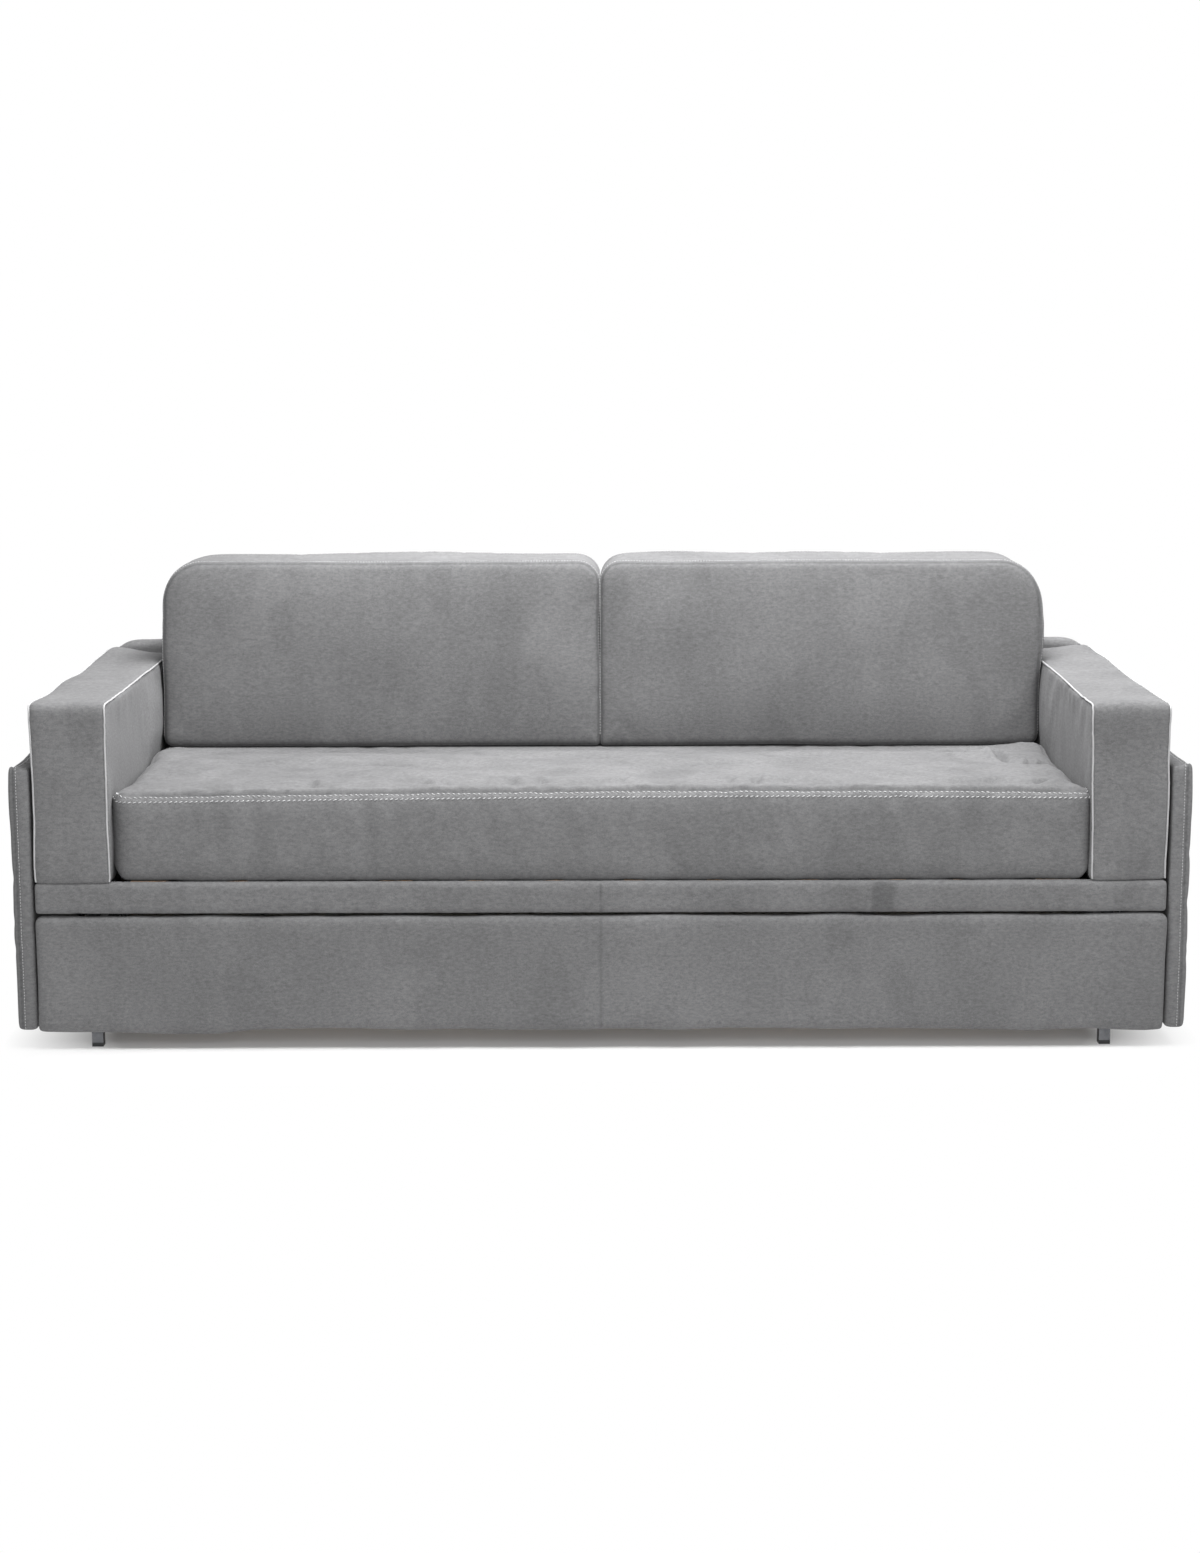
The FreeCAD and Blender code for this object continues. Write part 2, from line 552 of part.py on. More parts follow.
def side_panel(side):
    """The board, its steel pivot plate, the two pivot pins and the upholstered sleeve round them."""
    core = (
        outward(side, CORE_INNER, CORE_OUTER),
        (f"{PANEL_FRONT} + padding", f"{PANEL_BACK} - padding"),
        ("skirt_bottom + padding", "side_panel_top - padding"),
    )
    drilled = pivot_holes("core_pivot", side, "pin_radius", CORE_INNER, TIP)
    drilled += panel_bolt_holes("core", side) + lock_clearance("core", side)
    name = f"side_panel_core_{side}"
    part(name, cut(name, box(f"side_panel_blank_{side}", *core), drilled))

    plate = (
        outward(side, PLATE_INNER, CORE_INNER),
        ("pivot_behind - pivot_plate_width / 2", "pivot_behind + pivot_plate_width / 2"),
        (f"{LOWER_PIVOT_HEIGHT} - pivot_plate_margin", "upper_pivot_height + pivot_plate_margin"),
    )
    drilled = pivot_holes("plate_pivot", side, "pin_radius", PLATE_INNER, CORE_INNER)
    name = f"pivot_plate_{side}"
    part(name, cut(name, box(f"pivot_plate_blank_{side}", *plate), drilled))

    steps = (
        ("shank", "pin_radius", PLATE_INNER, TIP),
        ("shoulder", "pin_shoulder_radius", SHOULDER, PLATE_INNER),
        ("journal", "pin_radius", COLLAR, SHOULDER),
        ("head", "pin_head_radius", f"{ARM_OUTER} + pin_head_gap", COLLAR),
    )
    pins = [turned(f"pivot_{k}_{side}", side, steps, "pivot_behind", z) for k, z in PIVOTS.items()]
    group(f"panel_pivots_{side}", pins)

    sleeve_x = outward(side, PANEL_INNER, PANEL_OUTER)
    sleeve_z = ("skirt_bottom", "side_panel_top")
    form = rounded_block(
        f"side_panel_form_{side}", sleeve_x, (PANEL_FRONT, PANEL_BACK), sleeve_z, "cover_round"
    )
    hollows = [box(f"sleeve_cavity_{side}", *core), box(f"sleeve_plate_{side}", *plate)]
    hollows += pivot_holes(
        "sleeve_pivot", side, "pin_shoulder_radius + pin_hole_play", PANEL_INNER, CORE_INNER
    )
    hollows += panel_bolt_holes("sleeve", side) + lock_clearance("sleeve", side)
    name = f"side_panel_cover_{side}"
    part(name, cut(name, form, hollows))


def lock(side):
    """A pin in the side panel, with an upright rod and a thumb knob, drawn back.
    It slides into the lower link's hole when the bunk is up."""
    pin_x = outward(side, f"{PANEL_INNER} - lock_setback", TIP)
    rod_at = LOCK_ROD_X if side == "right" else f"-{LOCK_ROD_X}"
    knob_z = ("side_panel_top + lock_knob_lift", "side_panel_top + lock_knob_lift + lock_knob_height")
    pieces = [
        rod_x(f"lock_pin_{side}", "lock_pin_radius", pin_x, LOCK_Y, LOCK_Z),
        rod_z(f"lock_rod_{side}", "lock_rod_radius", rod_at, LOCK_Y, (LOCK_Z, knob_z[1])),
        rod_z(f"lock_knob_{side}", "lock_knob_radius", rod_at, LOCK_Y, knob_z),
    ]
    name = f"lock_slide_{side}"
    part(name, joined(name, pieces))


def seat_frame():
    """The upper bed's steel frame and slats."""
    front_y = (SEAT_FRONT, f"{SEAT_FRONT} + seat_rail_width")
    rear_y = (f"{BOARD_BACK} - seat_rail_width", BOARD_BACK)
    rail_x = (f"-{END_RAIL_INNER}", END_RAIL_INNER)
    low_z = (SEAT_RAIL_BOTTOM, SEAT_RAIL_TOP)
    tall_z = (SEAT_RAIL_BOTTOM, "band_top")
    part("seat_front_rail", tube("seat_front_rail", "x", rail_x, front_y, low_z))
    part("seat_rear_rail", tube("seat_rear_rail", "x", rail_x, rear_y, low_z))
    bearer_inner = f"({ARM_INNER} + bearer_inset)"
    for side in SIDES:
        end_x = outward(side, END_RAIL_INNER, HANGER_INNER)
        drilled = [
            rod_x(f"end_rail_{label}_{side}", BOLT_HOLE, end_x, y, z)
            for label, (y, z) in HANGER_BOLTS.items()
        ]
        name = f"seat_end_rail_{side}"
        part(name, tube(name, "y", end_x, (front_y[0], rear_y[1]), tall_z, drilled))
        name = f"arm_bearer_{side}"
        bearer_x = outward(side, bearer_inner, f"{bearer_inner} + seat_rail_width")
        part(name, tube(name, "y", bearer_x, (front_y[1], rear_y[0]), tall_z))
    slats("seat_slats", (front_y[0], rear_y[1]), SEAT_RAIL_TOP)


def hangers():
    """The hanger plates, their pivot pins and the bolts that hold them to the end rails."""
    bolts = []
    bolt_steps = (
        ("shank", "bolt_radius", END_RAIL_INNER, HANGER_OUTER),
        ("nut", "bolt_head_radius", f"{END_RAIL_INNER} - nut_height", END_RAIL_INNER),
    )
    pin_steps = (
        ("rivet", "pin_shoulder_radius", f"{HANGER_INNER} - rivet_height", HANGER_INNER),
        ("shank", "pin_radius", HANGER_INNER, SHOULDER),
        ("collar", "pin_shoulder_radius", HANGER_OUTER, COLLAR),
        ("washer", "pin_shoulder_radius", SHOULDER, f"{PANEL_INNER} - pin_end_play"),
    )
    for side in SIDES:
        hanger(side)
        for label, (y, z) in HANGER_BOLTS.items():
            bolts.append(turned(f"hanger_{label}_{side}", side, bolt_steps, y, z))
        pins = [
            turned(f"hanger_pin_{k}_{side}", side, pin_steps, HANGER_Y, f"{z} - link_reach")
            for k, z in PIVOTS.items()
        ]
        group(f"hanger_pins_{side}", pins)
    group("hanger_bolts", bolts)


def bands():
    """The upholstered strips that hide the upper bed's frame, front and rear."""
    band_z = ("band_bottom", "band_top")
    front_x = (f"-{PANEL_INNER} + band_gap", f"{PANEL_INNER} - band_gap")
    front_y = (f"{FRONT} + band_setback", SEAT_FRONT)
    part("front_band", rounded_block("front_band", front_x, front_y, band_z, "band_round"))
    rear_x = (f"-{ARM_OUTER}", ARM_OUTER)
    rear_y = (f"{BOARD_BACK} + upright_thickness + upright_play", PANEL_BACK)
    part("rear_band", rounded_block("rear_band", rear_x, rear_y, band_z, "band_round"))


def armrest(side):
    """An open-bottomed board frame inside a padded cover."""
    frame_x = outward(side, f"{ARM_INNER} + arm_padding", f"{ARM_OUTER} - arm_padding")
    frame_y = (f"{ARM_FRONT} + arm_padding", f"{ARM_BACK} - arm_padding")
    frame_top = "(arm_top - arm_padding)"
    inside_x, inside_y = ((f"{low} + arm_board", f"{high} - arm_board") for low, high in (frame_x, frame_y))
    blank = box(f"armrest_blank_{side}", frame_x, frame_y, ("band_top", frame_top))
    inside = box(f"armrest_inside_{side}", inside_x, inside_y, ("band_bottom", f"{frame_top} - arm_board"))
    name = f"armrest_frame_{side}"
    part(name, cut(name, blank, [inside]))
    form = rounded_block(
        f"armrest_form_{side}",
        outward(side, ARM_INNER, ARM_OUTER),
        (ARM_FRONT, ARM_BACK),
        ("band_top", "arm_top"),
        "arm_round",
    )
    cavity = box(f"armrest_cavity_{side}", frame_x, frame_y, ("band_bottom", frame_top))
    name = f"armrest_cover_{side}"
    part(name, cut(name, form, [cavity]))


def back_panel():
    """The low padded back on its board, which three steel strips hold to the rear rail."""
    outer_z = ("band_top + back_panel_gap", "back_panel_top")
    board = (
        (f"-{ARM_OUTER} + back_round", f"{ARM_OUTER} - back_round"),
        (BOARD_FRONT, BOARD_BACK),
        (f"{outer_z[0]} + back_padding", "back_panel_top - back_round"),
    )
    part("back_panel_board", box("back_panel_board", *board))
    strips, slots = [], []
    strip_y = (BOARD_BACK, f"{BOARD_BACK} + upright_thickness")
    strip_z = (f"{SEAT_RAIL_BOTTOM} + seat_rail_lift", "upright_top")
    for i, middle in enumerate(("-upright_spread", "0", "upright_spread"), start=1):
        strip_x = (f"{middle} - upright_width / 2", f"{middle} + upright_width / 2")
        strips.append(box(f"back_upright_{i}", strip_x, strip_y, strip_z))
        slots.append(box(f"back_slot_{i}", strip_x, strip_y, strip_z))
    group("back_uprights", strips)
    outer_x = (f"-{ARM_OUTER}", ARM_OUTER)
    form = rounded_block("back_panel_form", outer_x, (BACK_FRONT, BACK), outer_z, "back_round")
    part("back_panel_cover", cut("back_panel_cover", form, [box("back_panel_cavity", *board), *slots]))


# Soft forms: lofts through level outlines.
EDGE_STEPS = (0, 0.15, 0.5, 1)
DOME_STEPS = ((0.6, 0.11), (1, 0.29))
CORNER_ANGLES = (0, 20, 38, 53, 66, 77, 86)
# Shares of its rounded foot that a back cushion's faces and inner end draw back by.
FACE_TUCK, INNER_TUCK = 0.7, 0.5
# Where the half wave of a back cushion's swell starts, and how much of it the height takes.
SWELL_START, SWELL_RUN = 0.1, 0.8


def outline(x, y, z, corner, end_draw_in, face_draw_in):
    """A closed wire of eight arcs. A face that swells draws in by less than nothing."""
    (x0, x1), (y0, y1) = x, y
    mid_x, mid_y = (x0 + x1) / 2, (y0 + y1) / 2
    near = corner * (1 - math.sqrt(0.5))
    arcs = (
        ((x0 + corner, y0), (mid_x, y0 + face_draw_in), (x1 - corner, y0)),
        ((x1 - corner, y0), (x1 - near, y0 + near), (x1, y0 + corner)),
        ((x1, y0 + corner), (x1 - end_draw_in, mid_y), (x1, y1 - corner)),
        ((x1, y1 - corner), (x1 - near, y1 - near), (x1 - corner, y1)),
        ((x1 - corner, y1), (mid_x, y1 - face_draw_in), (x0 + corner, y1)),
        ((x0 + corner, y1), (x0 + near, y1 - near), (x0, y1 - corner)),
        ((x0, y1 - corner), (x0 + end_draw_in, mid_y), (x0, y0 + corner)),
        ((x0, y0 + corner), (x0 + near, y0 + near), (x0 + corner, y0)),
    )
    edges = [Part.Arc(*(FreeCAD.Vector(*point, z) for point in arc)).toShape() for arc in arcs]
    return Part.Wire(edges)


def rounded_in(radius, distance):
    """How far a rounded edge has drawn back at a distance from its end."""
    left = max(0.0, radius - distance)
    return radius - math.sqrt(radius**2 - left**2)


def soft(name, outlines):
    """A closed soft solid lofted through outlines."""
    feature = doc.addObject("Part::Feature", name)
    feature.Shape = Part.makeLoft(outlines, True, True)
    part(name, feature)


def mattress(name, middle_y, width, bottom, top, crown):
    """A mattress with a crowned top, rounded edges and sides that draw in a little."""
    half = size("mattress_length") / 2
    edge, draw_in = size("mattress_edge"), size("mattress_draw_in")
    levels = [(bottom + edge * step, rounded_in(edge, edge * step)) for step in EDGE_STEPS]
    levels += [(top - edge * step, rounded_in(edge, edge * step)) for step in reversed(EDGE_STEPS)]
    levels += [(top + crown * rise, width * inset) for rise, inset in DOME_STEPS]
    outlines = []
    for z, inset in levels:
        x = (-half + inset, half - inset)
        y = (middle_y - width / 2 + inset, middle_y + width / 2 - inset)
        outlines.append(outline(x, y, z, size("mattress_corner"), draw_in, draw_in))
    soft(name, outlines)


def back_cushion(side):
    """A boxed cushion that leans back, with a crowned face and a large upper corner beside the armrest."""
    outer = place(ARM_INNER) - size("cushion_play")
    inner = size("cushion_gap") / 2
    bottom = size("seat_top") + size("seat_crown") + size("cushion_lift")
    top, foot, wide = size("cushion_top"), size("cushion_foot"), size("cushion_outer_corner")
    levels = [bottom + foot * step for step in EDGE_STEPS]
    levels += [top - wide * (1 - math.sin(math.radians(angle))) for angle in CORNER_ANGLES]
    outlines = []
    for z in levels:
        rise = (z - bottom) / (top - bottom)
        lean = size("cushion_lean") * rise
        tucked = rounded_in(foot, z - bottom)
        inset = rounded_in(size("cushion_edge"), top - z) + FACE_TUCK * tucked
        left = -outer + rounded_in(wide, top - z) + tucked
        right = -inner - rounded_in(size("cushion_inner_corner"), top - z) - INNER_TUCK * tucked
        x = (left, right) if side == "left" else (-right, -left)
        front = size("cushion_front") + lean + inset
        rear = size("cushion_front") + size("cushion_depth") + lean / 2 - inset
        swell = size("cushion_crown") * math.sin(math.pi * (SWELL_START + SWELL_RUN * rise))
        corner, draw_in = size("cushion_side_corner"), size("cushion_draw_in")
        outlines.append(outline(x, (front, rear), z, corner, draw_in, -swell))
    soft(f"back_cushion_{side}", outlines)


def soft_pieces():
    """The two mattresses and the two back cushions."""
    seat_middle = place(f"{SEAT_FRONT} - seat_overhang + mattress_width / 2")
    crown = size("seat_crown")
    mattress("seat_mattress", seat_middle, size("mattress_width"), size("band_top"), size("seat_top"), crown)
    bottom = place(f"{BASE_RAIL_TOP} + slat_thickness")
    top = bottom + size("lower_mattress_thickness")
    mattress("lower_mattress", 0, size("lower_mattress_width"), bottom, top, size("lower_crown"))
    for side in SIDES:
        back_cushion(side)


def build():
    """All sub-parts, base first."""
    base_frame()
    rail_ends()
    slats("lower_slats", (RAIL_FRONT, f"-{RAIL_FRONT}"), BASE_RAIL_TOP)
    base_panels()
    seat_frame()
    hangers()
    bands()
    back_panel()
    for side in SIDES:
        side_panel(side)
        lock(side)
        armrest(side)
        link(f"upper_link_{side}", side, "upper_pivot_height")
        link(f"lower_link_{side}", side, LOWER_PIVOT_HEIGHT, lock_hole=True)
    soft_pieces()
    doc.recompute()


def export():
    """Checks every object and writes one file for each sub-part."""
    for item in doc.Objects:
        faults = {"Invalid", "Error"} & set(item.State)
        if faults:
            raise RuntimeError(f"{item.Label} is {sorted(faults)}")
    for name, item in parts.items():
        shape = item.Shape
        if shape.isNull() or not shape.isValid() or not shape.Solids:
            raise RuntimeError(f"{name} has no valid solid")
    os.makedirs("parts", exist_ok=True)
    for name, item in parts.items():
        item.Shape.exportStep(f"parts/{name}.step")
    print(f"{len(parts)} sub-parts written")


build()
export()
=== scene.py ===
"""Looks of a bunk-bed sofa in grey suede microfibre, dressed over its packed construction model."""
import json
import math
from collections import namedtuple

import bpy
import numpy as np
from mathutils import Matrix, Vector
from mathutils.bvhtree import BVHTree
from mathutils.kdtree import KDTree


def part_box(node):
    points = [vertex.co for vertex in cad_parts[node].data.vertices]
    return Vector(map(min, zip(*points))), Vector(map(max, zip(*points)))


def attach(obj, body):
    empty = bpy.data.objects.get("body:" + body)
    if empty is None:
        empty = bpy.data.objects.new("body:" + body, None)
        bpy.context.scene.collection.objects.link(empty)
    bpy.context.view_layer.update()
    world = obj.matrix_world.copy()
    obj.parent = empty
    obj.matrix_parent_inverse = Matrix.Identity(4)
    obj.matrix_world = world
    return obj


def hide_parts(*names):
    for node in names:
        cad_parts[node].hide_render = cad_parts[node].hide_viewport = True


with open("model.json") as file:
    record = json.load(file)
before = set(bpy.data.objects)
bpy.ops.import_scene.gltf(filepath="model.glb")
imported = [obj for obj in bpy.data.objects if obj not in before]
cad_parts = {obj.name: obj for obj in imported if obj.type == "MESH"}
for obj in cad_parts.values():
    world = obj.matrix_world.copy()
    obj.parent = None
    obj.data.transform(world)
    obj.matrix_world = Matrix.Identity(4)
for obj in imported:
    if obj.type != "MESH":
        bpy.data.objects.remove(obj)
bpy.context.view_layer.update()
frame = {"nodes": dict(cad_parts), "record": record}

MM = 0.001
SIDES = {"left": -1, "right": 1}

# The photograph's camera, fitted to the sofa's corners in a frame of 1200 x 1553 pixels.
PHOTO_HEIGHT_PX = 1553
FOCAL_PX = 2638.0
SENSOR_MM = 36
CAMERA_PLACE = (0.0, -5.476, 1.403)
CAMERA_PITCH = math.radians(9.72)
CAMERA_ROLL = math.radians(-0.15)
CENTRE_SHIFT_PX = 0.4

# Cloth run of the padded pieces, and how firmly it holds their seams.
SIM_FRAMES = 20
CLOTH = {
    "quality": 4, "tension_stiffness": 15, "compression_stiffness": 15, "shear_stiffness": 5,
    "bending_stiffness": 0.5, "use_pressure": True, "uniform_pressure_force": 4.0,
    "vertex_group_mass": "foam", "pin_stiffness": 1.0,
}
SEAM_HOLD = 0.85

# Sewing: stitches, cords, how far they lie off the cloth, and steps along a path and beside a seam.
STITCH_PITCH = 10 * MM
STITCH_LENGTH = 8.2 * MM
THREAD_RADIUS = 1.15 * MM
FINE_STITCH = {"Pitch": 6 * MM, "Length": 4.4 * MM, "Thread Radius": 0.75 * MM}
PIPING_RADIUS, TAPE_RADIUS = 1.8 * MM, 4 * MM
STITCH_LIFT, FINE_LIFT, PIPING_LIFT, TAPE_LIFT = 0.4 * MM, 0.3 * MM, 1.0 * MM, 0.5 * MM
PATH_STEP, CORD_STEP, STITCH_BESIDE = 4 * MM, 7 * MM, 6 * MM
# Width and depth of the furrows along seams.
SEAT_FURROW, BACK_FURROW, SIDE_FURROW = (4 * MM, 2.0 * MM), (4 * MM, 1.6 * MM), (3.5 * MM, 2.0 * MM)
FRONT_FURROW, BAND_FURROW = (3.5 * MM, 1.2 * MM), (3 * MM, 1.0 * MM)
PANEL_EDGE_FURROW, PANEL_FURROW = (4 * MM, 1.8 * MM), (4 * MM, 1.5 * MM)


def hex_colour(code):
    """An sRGB hex colour as linear RGBA."""
    channels = [int(code[i:i + 2], 16) / 255 for i in (1, 3, 5)]
    linear = [c / 12.92 if c <= 0.04045 else ((c + 0.055) / 1.055) ** 2.4 for c in channels]
    return (*linear, 1.0)


def add(tree, kind, inputs=None, **settings):
    """Adds a node with its settings. An input is a value, or another node's socket to link."""
    made = tree.nodes.new(kind)
    for name, value in settings.items():
        setattr(made, name, value)
    for key, value in (inputs or {}).items():
        if isinstance(value, bpy.types.NodeSocket):
            tree.links.new(value, made.inputs[key])
        else:
            made.inputs[key].default_value = value
    return made


def new_material(name, values):
    """A material whose surface shader has some values; gives it, its tree, shader and object coordinates."""
    material = bpy.data.materials.new(name)
    material.use_nodes = True
    tree = material.node_tree
    tree.nodes.clear()
    shader = add(tree, "ShaderNodeBsdfPrincipled", values)
    add(tree, "ShaderNodeOutputMaterial", {"Surface": shader.outputs["BSDF"]})
    coords = add(tree, "ShaderNodeTexCoord").outputs["Object"]
    return material, tree, shader, coords


def noise(tree, coords, size_mm, detail=2.0, rough=0.5, stretch=(1, 1, 1)):
    """Noise whose blotches are about a size in millimetres, drawn out along the axes by stretch."""
    scaled = add(tree, "ShaderNodeMapping", {"Vector": coords, "Scale": [1 / s for s in stretch]})
    inputs = {"Vector": scaled.outputs[0], "Scale": 1 / (size_mm * MM), "Detail": detail, "Roughness": rough}
    return add(tree, "ShaderNodeTexNoise", inputs).outputs["Fac"]


def ramp(tree, fac, stops):
    """A colour ramp through stops of a place and an sRGB hex colour."""
    made = add(tree, "ShaderNodeValToRGB", {"Fac": fac})
    elements = made.color_ramp.elements
    while len(elements) < len(stops):
        elements.new(0.5)
    for element, (place, code) in zip(elements, stops):
        element.position = place
        element.color = hex_colour(code)
    return made.outputs["Color"]


def part_of(tree, fac, low, high, amount, least=0.0):
    """A factor that goes from a least value to an amount between two values of another factor."""
    inputs = {"Value": fac, "From Min": low, "From Max": high, "To Min": least, "To Max": amount}
    return add(tree, "ShaderNodeMapRange", inputs).outputs[0]


def mix(tree, fac, first, second, blend="MIX"):
    """Mixes two colours; a colour is a socket or a hex code."""
    made = add(tree, "ShaderNodeMix", data_type="RGBA", blend_type=blend)
    for index, value in ((0, fac), (6, first), (7, second)):
        if isinstance(value, bpy.types.NodeSocket):
            tree.links.new(value, made.inputs[index])
        else:
            made.inputs[index].default_value = hex_colour(value) if isinstance(value, str) else value
    return made.outputs[2]


def bump(tree, height, depth_mm, strength=1.0, under=None):
    """Relief of a depth in millimetres over an earlier relief."""
    inputs = {"Height": height, "Distance": depth_mm * MM, "Strength": strength}
    if under:
        inputs["Normal"] = under
    return add(tree, "ShaderNodeBump", inputs).outputs["Normal"]


def finished(material, shader, colour, normal=None, roughness=None):
    """Links a material's colour, relief and changing roughness to its shader, and gives the material."""
    for label, socket in (("Base Color", colour), ("Normal", normal), ("Roughness", roughness)):
        if socket:
            material.node_tree.links.new(socket, shader.inputs[label])
    return material


def suede_microfibre():
    """Brushed polyester suede: a matte mid grey, cloudy where the nap lies over, with hand marks and a soft
    sheen, and painted shade in seam furrows, creases, patches on the seat, the band's lap and where the seat
    meets the armrests."""
    sheen = {"Sheen Weight": 0.07, "Sheen Roughness": 0.5, "Sheen Tint": hex_colour("#f2f2f4")}
    values = {"Roughness": 0.95, "Specular IOR Level": 0.15, **sheen}
    material, tree, shader, coords = new_material("suede_microfibre", values)
    clouds = noise(tree, coords, 170, 3, 0.5, (1, 1, 1.9))
    colour = ramp(tree, clouds, [(0.30, "#89898a"), (0.70, "#949495")])
    marks = part_of(tree, noise(tree, coords, 120, 2, 0.5, (1.4, 1.2, 1.6)), 0.60, 0.63, 0.10)
    colour = mix(tree, marks, colour, "#aeaeaf")
    scuffs = part_of(tree, noise(tree, coords, 140, 2, 0.4, (1, 1.4, 2.2)), 0.40, 0.36, 0.14)
    colour = mix(tree, scuffs, colour, "#666667")
    pile = noise(tree, coords, 4.5, 4, 0.65, (2.1, 2.1, 1))
    pile = ramp(tree, pile, [(0.28, "#545454"), (0.72, "#acacac")])
    colour = mix(tree, 0.48, colour, pile, "OVERLAY")
    speckle = ramp(tree, noise(tree, coords, 1.7, 2, 0.6), [(0.25, "#585858"), (0.75, "#a6a6a6")])
    colour = mix(tree, 0.5, colour, speckle, "OVERLAY")
    # Painted shade: the seam attribute darkens the colour towards a dark grey wherever shade is painted in.
    seam = add(tree, "ShaderNodeAttribute", attribute_name="seam").outputs["Fac"]
    colour = mix(tree, part_of(tree, seam, 0, 1, 0.55), colour, "#3c3c3d")
    relief = bump(tree, noise(tree, coords, 14, 2), 0.8, 0.35)
    relief = bump(tree, noise(tree, coords, 2.2, 2, 0.6), 0.35, 0.5, relief)
    return finished(material, shader, colour, relief)


def pale_piping():
    """Piping cord wrapped in a pale satin bias strip: a light line with a faint diagonal twill."""
    material, tree, shader, coords = new_material("pale_piping", {"Roughness": 0.6, "Sheen Weight": 0.2})
    colour = ramp(tree, noise(tree, coords, 25, 2), [(0.3, "#a0a0a1"), (0.7, "#b0b0b1")])
    relief = bump(tree, noise(tree, coords, 1.2, 2, 0.6, (1, 1, 2)), 0.3, 0.5)
    return finished(material, shader, colour, relief)


def stitching_thread():
    """Pale polyester thread with a slight lustre and a twisted ply."""
    material, tree, shader, coords = new_material("stitching_thread", {"Roughness": 0.5})
    colour = ramp(tree, noise(tree, coords, 3, 2), [(0.3, "#a4a4a5"), (0.7, "#b8b8b9")])
    relief = bump(tree, noise(tree, coords, 0.7, 1, 0.5, (1, 1, 2)), 0.2, 0.5)
    return finished(material, shader, colour, relief)


def mattress_ticking():
    """Woven mattress ticking: warm off-white with satin stripes and a visible weave."""
    values = {"Roughness": 0.85, "Sheen Weight": 0.15}
    material, tree, shader, coords = new_material("mattress_ticking", values)
    stripe_mm, wave_pace = 150.8, 20
    wave = {"Vector": coords, "Scale": 2 * math.pi / (wave_pace * stripe_mm * MM), "Distortion": 0.0}
    stripes = add(tree, "ShaderNodeTexWave", wave, bands_direction="X").outputs["Fac"]
    colour = mix(tree, part_of(tree, stripes, 0.80, 0.88, 0.5), "#cbc6ba", "#8f949a")
    colour = mix(tree, part_of(tree, noise(tree, coords, 60, 3), 0.4, 0.7, 0.25), colour, "#b5aea0")
    relief = bump(tree, noise(tree, coords, 1.5, 2, 0.6, (2, 1, 1)), 0.4, 0.6)
    return finished(material, shader, colour, relief)


def lacquered_beech():
    """Bent beech slats: pale pink-brown wood with straight grain, short dark flecks and clear lacquer."""
    values = {"Roughness": 0.42, "Coat Weight": 0.25, "Coat Roughness": 0.3}
    material, tree, shader, coords = new_material("lacquered_beech", values)
    grain = noise(tree, coords, 9, 4, 0.6, (1, 28, 1))
    colour = ramp(tree, grain, [(0.30, "#b98a5c"), (0.50, "#cfa476"), (0.72, "#ddb88c")])
    flecks = part_of(tree, noise(tree, coords, 1.6, 1, 0.4, (1, 7, 1)), 0.66, 0.72, 0.5)
    colour = mix(tree, flecks, colour, "#8d6239")
    relief = bump(tree, noise(tree, coords, 1.4, 2, 0.5, (1, 20, 1)), 0.12, 0.5)
    return finished(material, shader, colour, relief)


def melamine_board():
    """Particle board faced with melamine paper: a dull plain grey with a pressed linen grain and scuffs."""
    material, tree, shader, coords = new_material("melamine_board", {})
    colour = ramp(tree, noise(tree, coords, 240, 3), [(0.3, "#656567"), (0.7, "#6d6d6f")])
    scuffs = part_of(tree, noise(tree, coords, 22, 4, 0.6, (5, 1, 1)), 0.64, 0.72, 0.25)
    colour = mix(tree, scuffs, colour, "#858587")
    along = noise(tree, coords, 2.4, 1, 0.4, (14, 1, 1))
    upright = noise(tree, coords, 2.4, 1, 0.4, (1, 1, 14))
    relief = bump(tree, upright, 0.25, 0.5, bump(tree, along, 0.25, 0.5))
    return finished(material, shader, colour, relief, part_of(tree, scuffs, 0, 1, 0.75, 0.5))


def powder_coat():
    """Black powder coat on steel tube and flat: satin, with a fine orange-peel skin."""
    material, tree, shader, coords = new_material("black_powder_coat", {})
    colour = ramp(tree, noise(tree, coords, 45, 3), [(0.3, "#1f2022"), (0.7, "#2c2d30")])
    relief = bump(tree, noise(tree, coords, 1.8, 1), 0.15, 0.4)
    roughness = part_of(tree, noise(tree, coords, 30, 3), 0.2, 0.8, 0.65)
    return finished(material, shader, colour, relief, roughness)


def bare_metal(name, dark, light, roughness, grain):
    """Bare or plated metal with faint drawn grain and smudges."""
    material, tree, shader, coords = new_material(name, {"Metallic": 1.0})
    colour = ramp(tree, noise(tree, coords, 18, 4, 0.6), [(0.3, dark), (0.7, light)])
    scratch = noise(tree, coords, 1.0, 3, 0.6, grain)
    spread = part_of(tree, scratch, 0, 1, roughness + 0.15, roughness - 0.1)
    return finished(material, shader, colour, bump(tree, scratch, 0.05, 0.4), spread)


def moulded_black(name, roughness, grain_mm):
    """Black moulded plastic or rubber with a fine spark-eroded grain."""
    material, tree, shader, coords = new_material(name, {})
    colour = ramp(tree, noise(tree, coords, 20, 2), [(0.3, "#17181a"), (0.7, "#222325")])
    relief = bump(tree, noise(tree, coords, grain_mm, 2), 0.15, 0.5)
    spread = part_of(tree, noise(tree, coords, 12, 2), 0.0, 1.0, 2 * roughness)
    return finished(material, shader, colour, relief, spread)


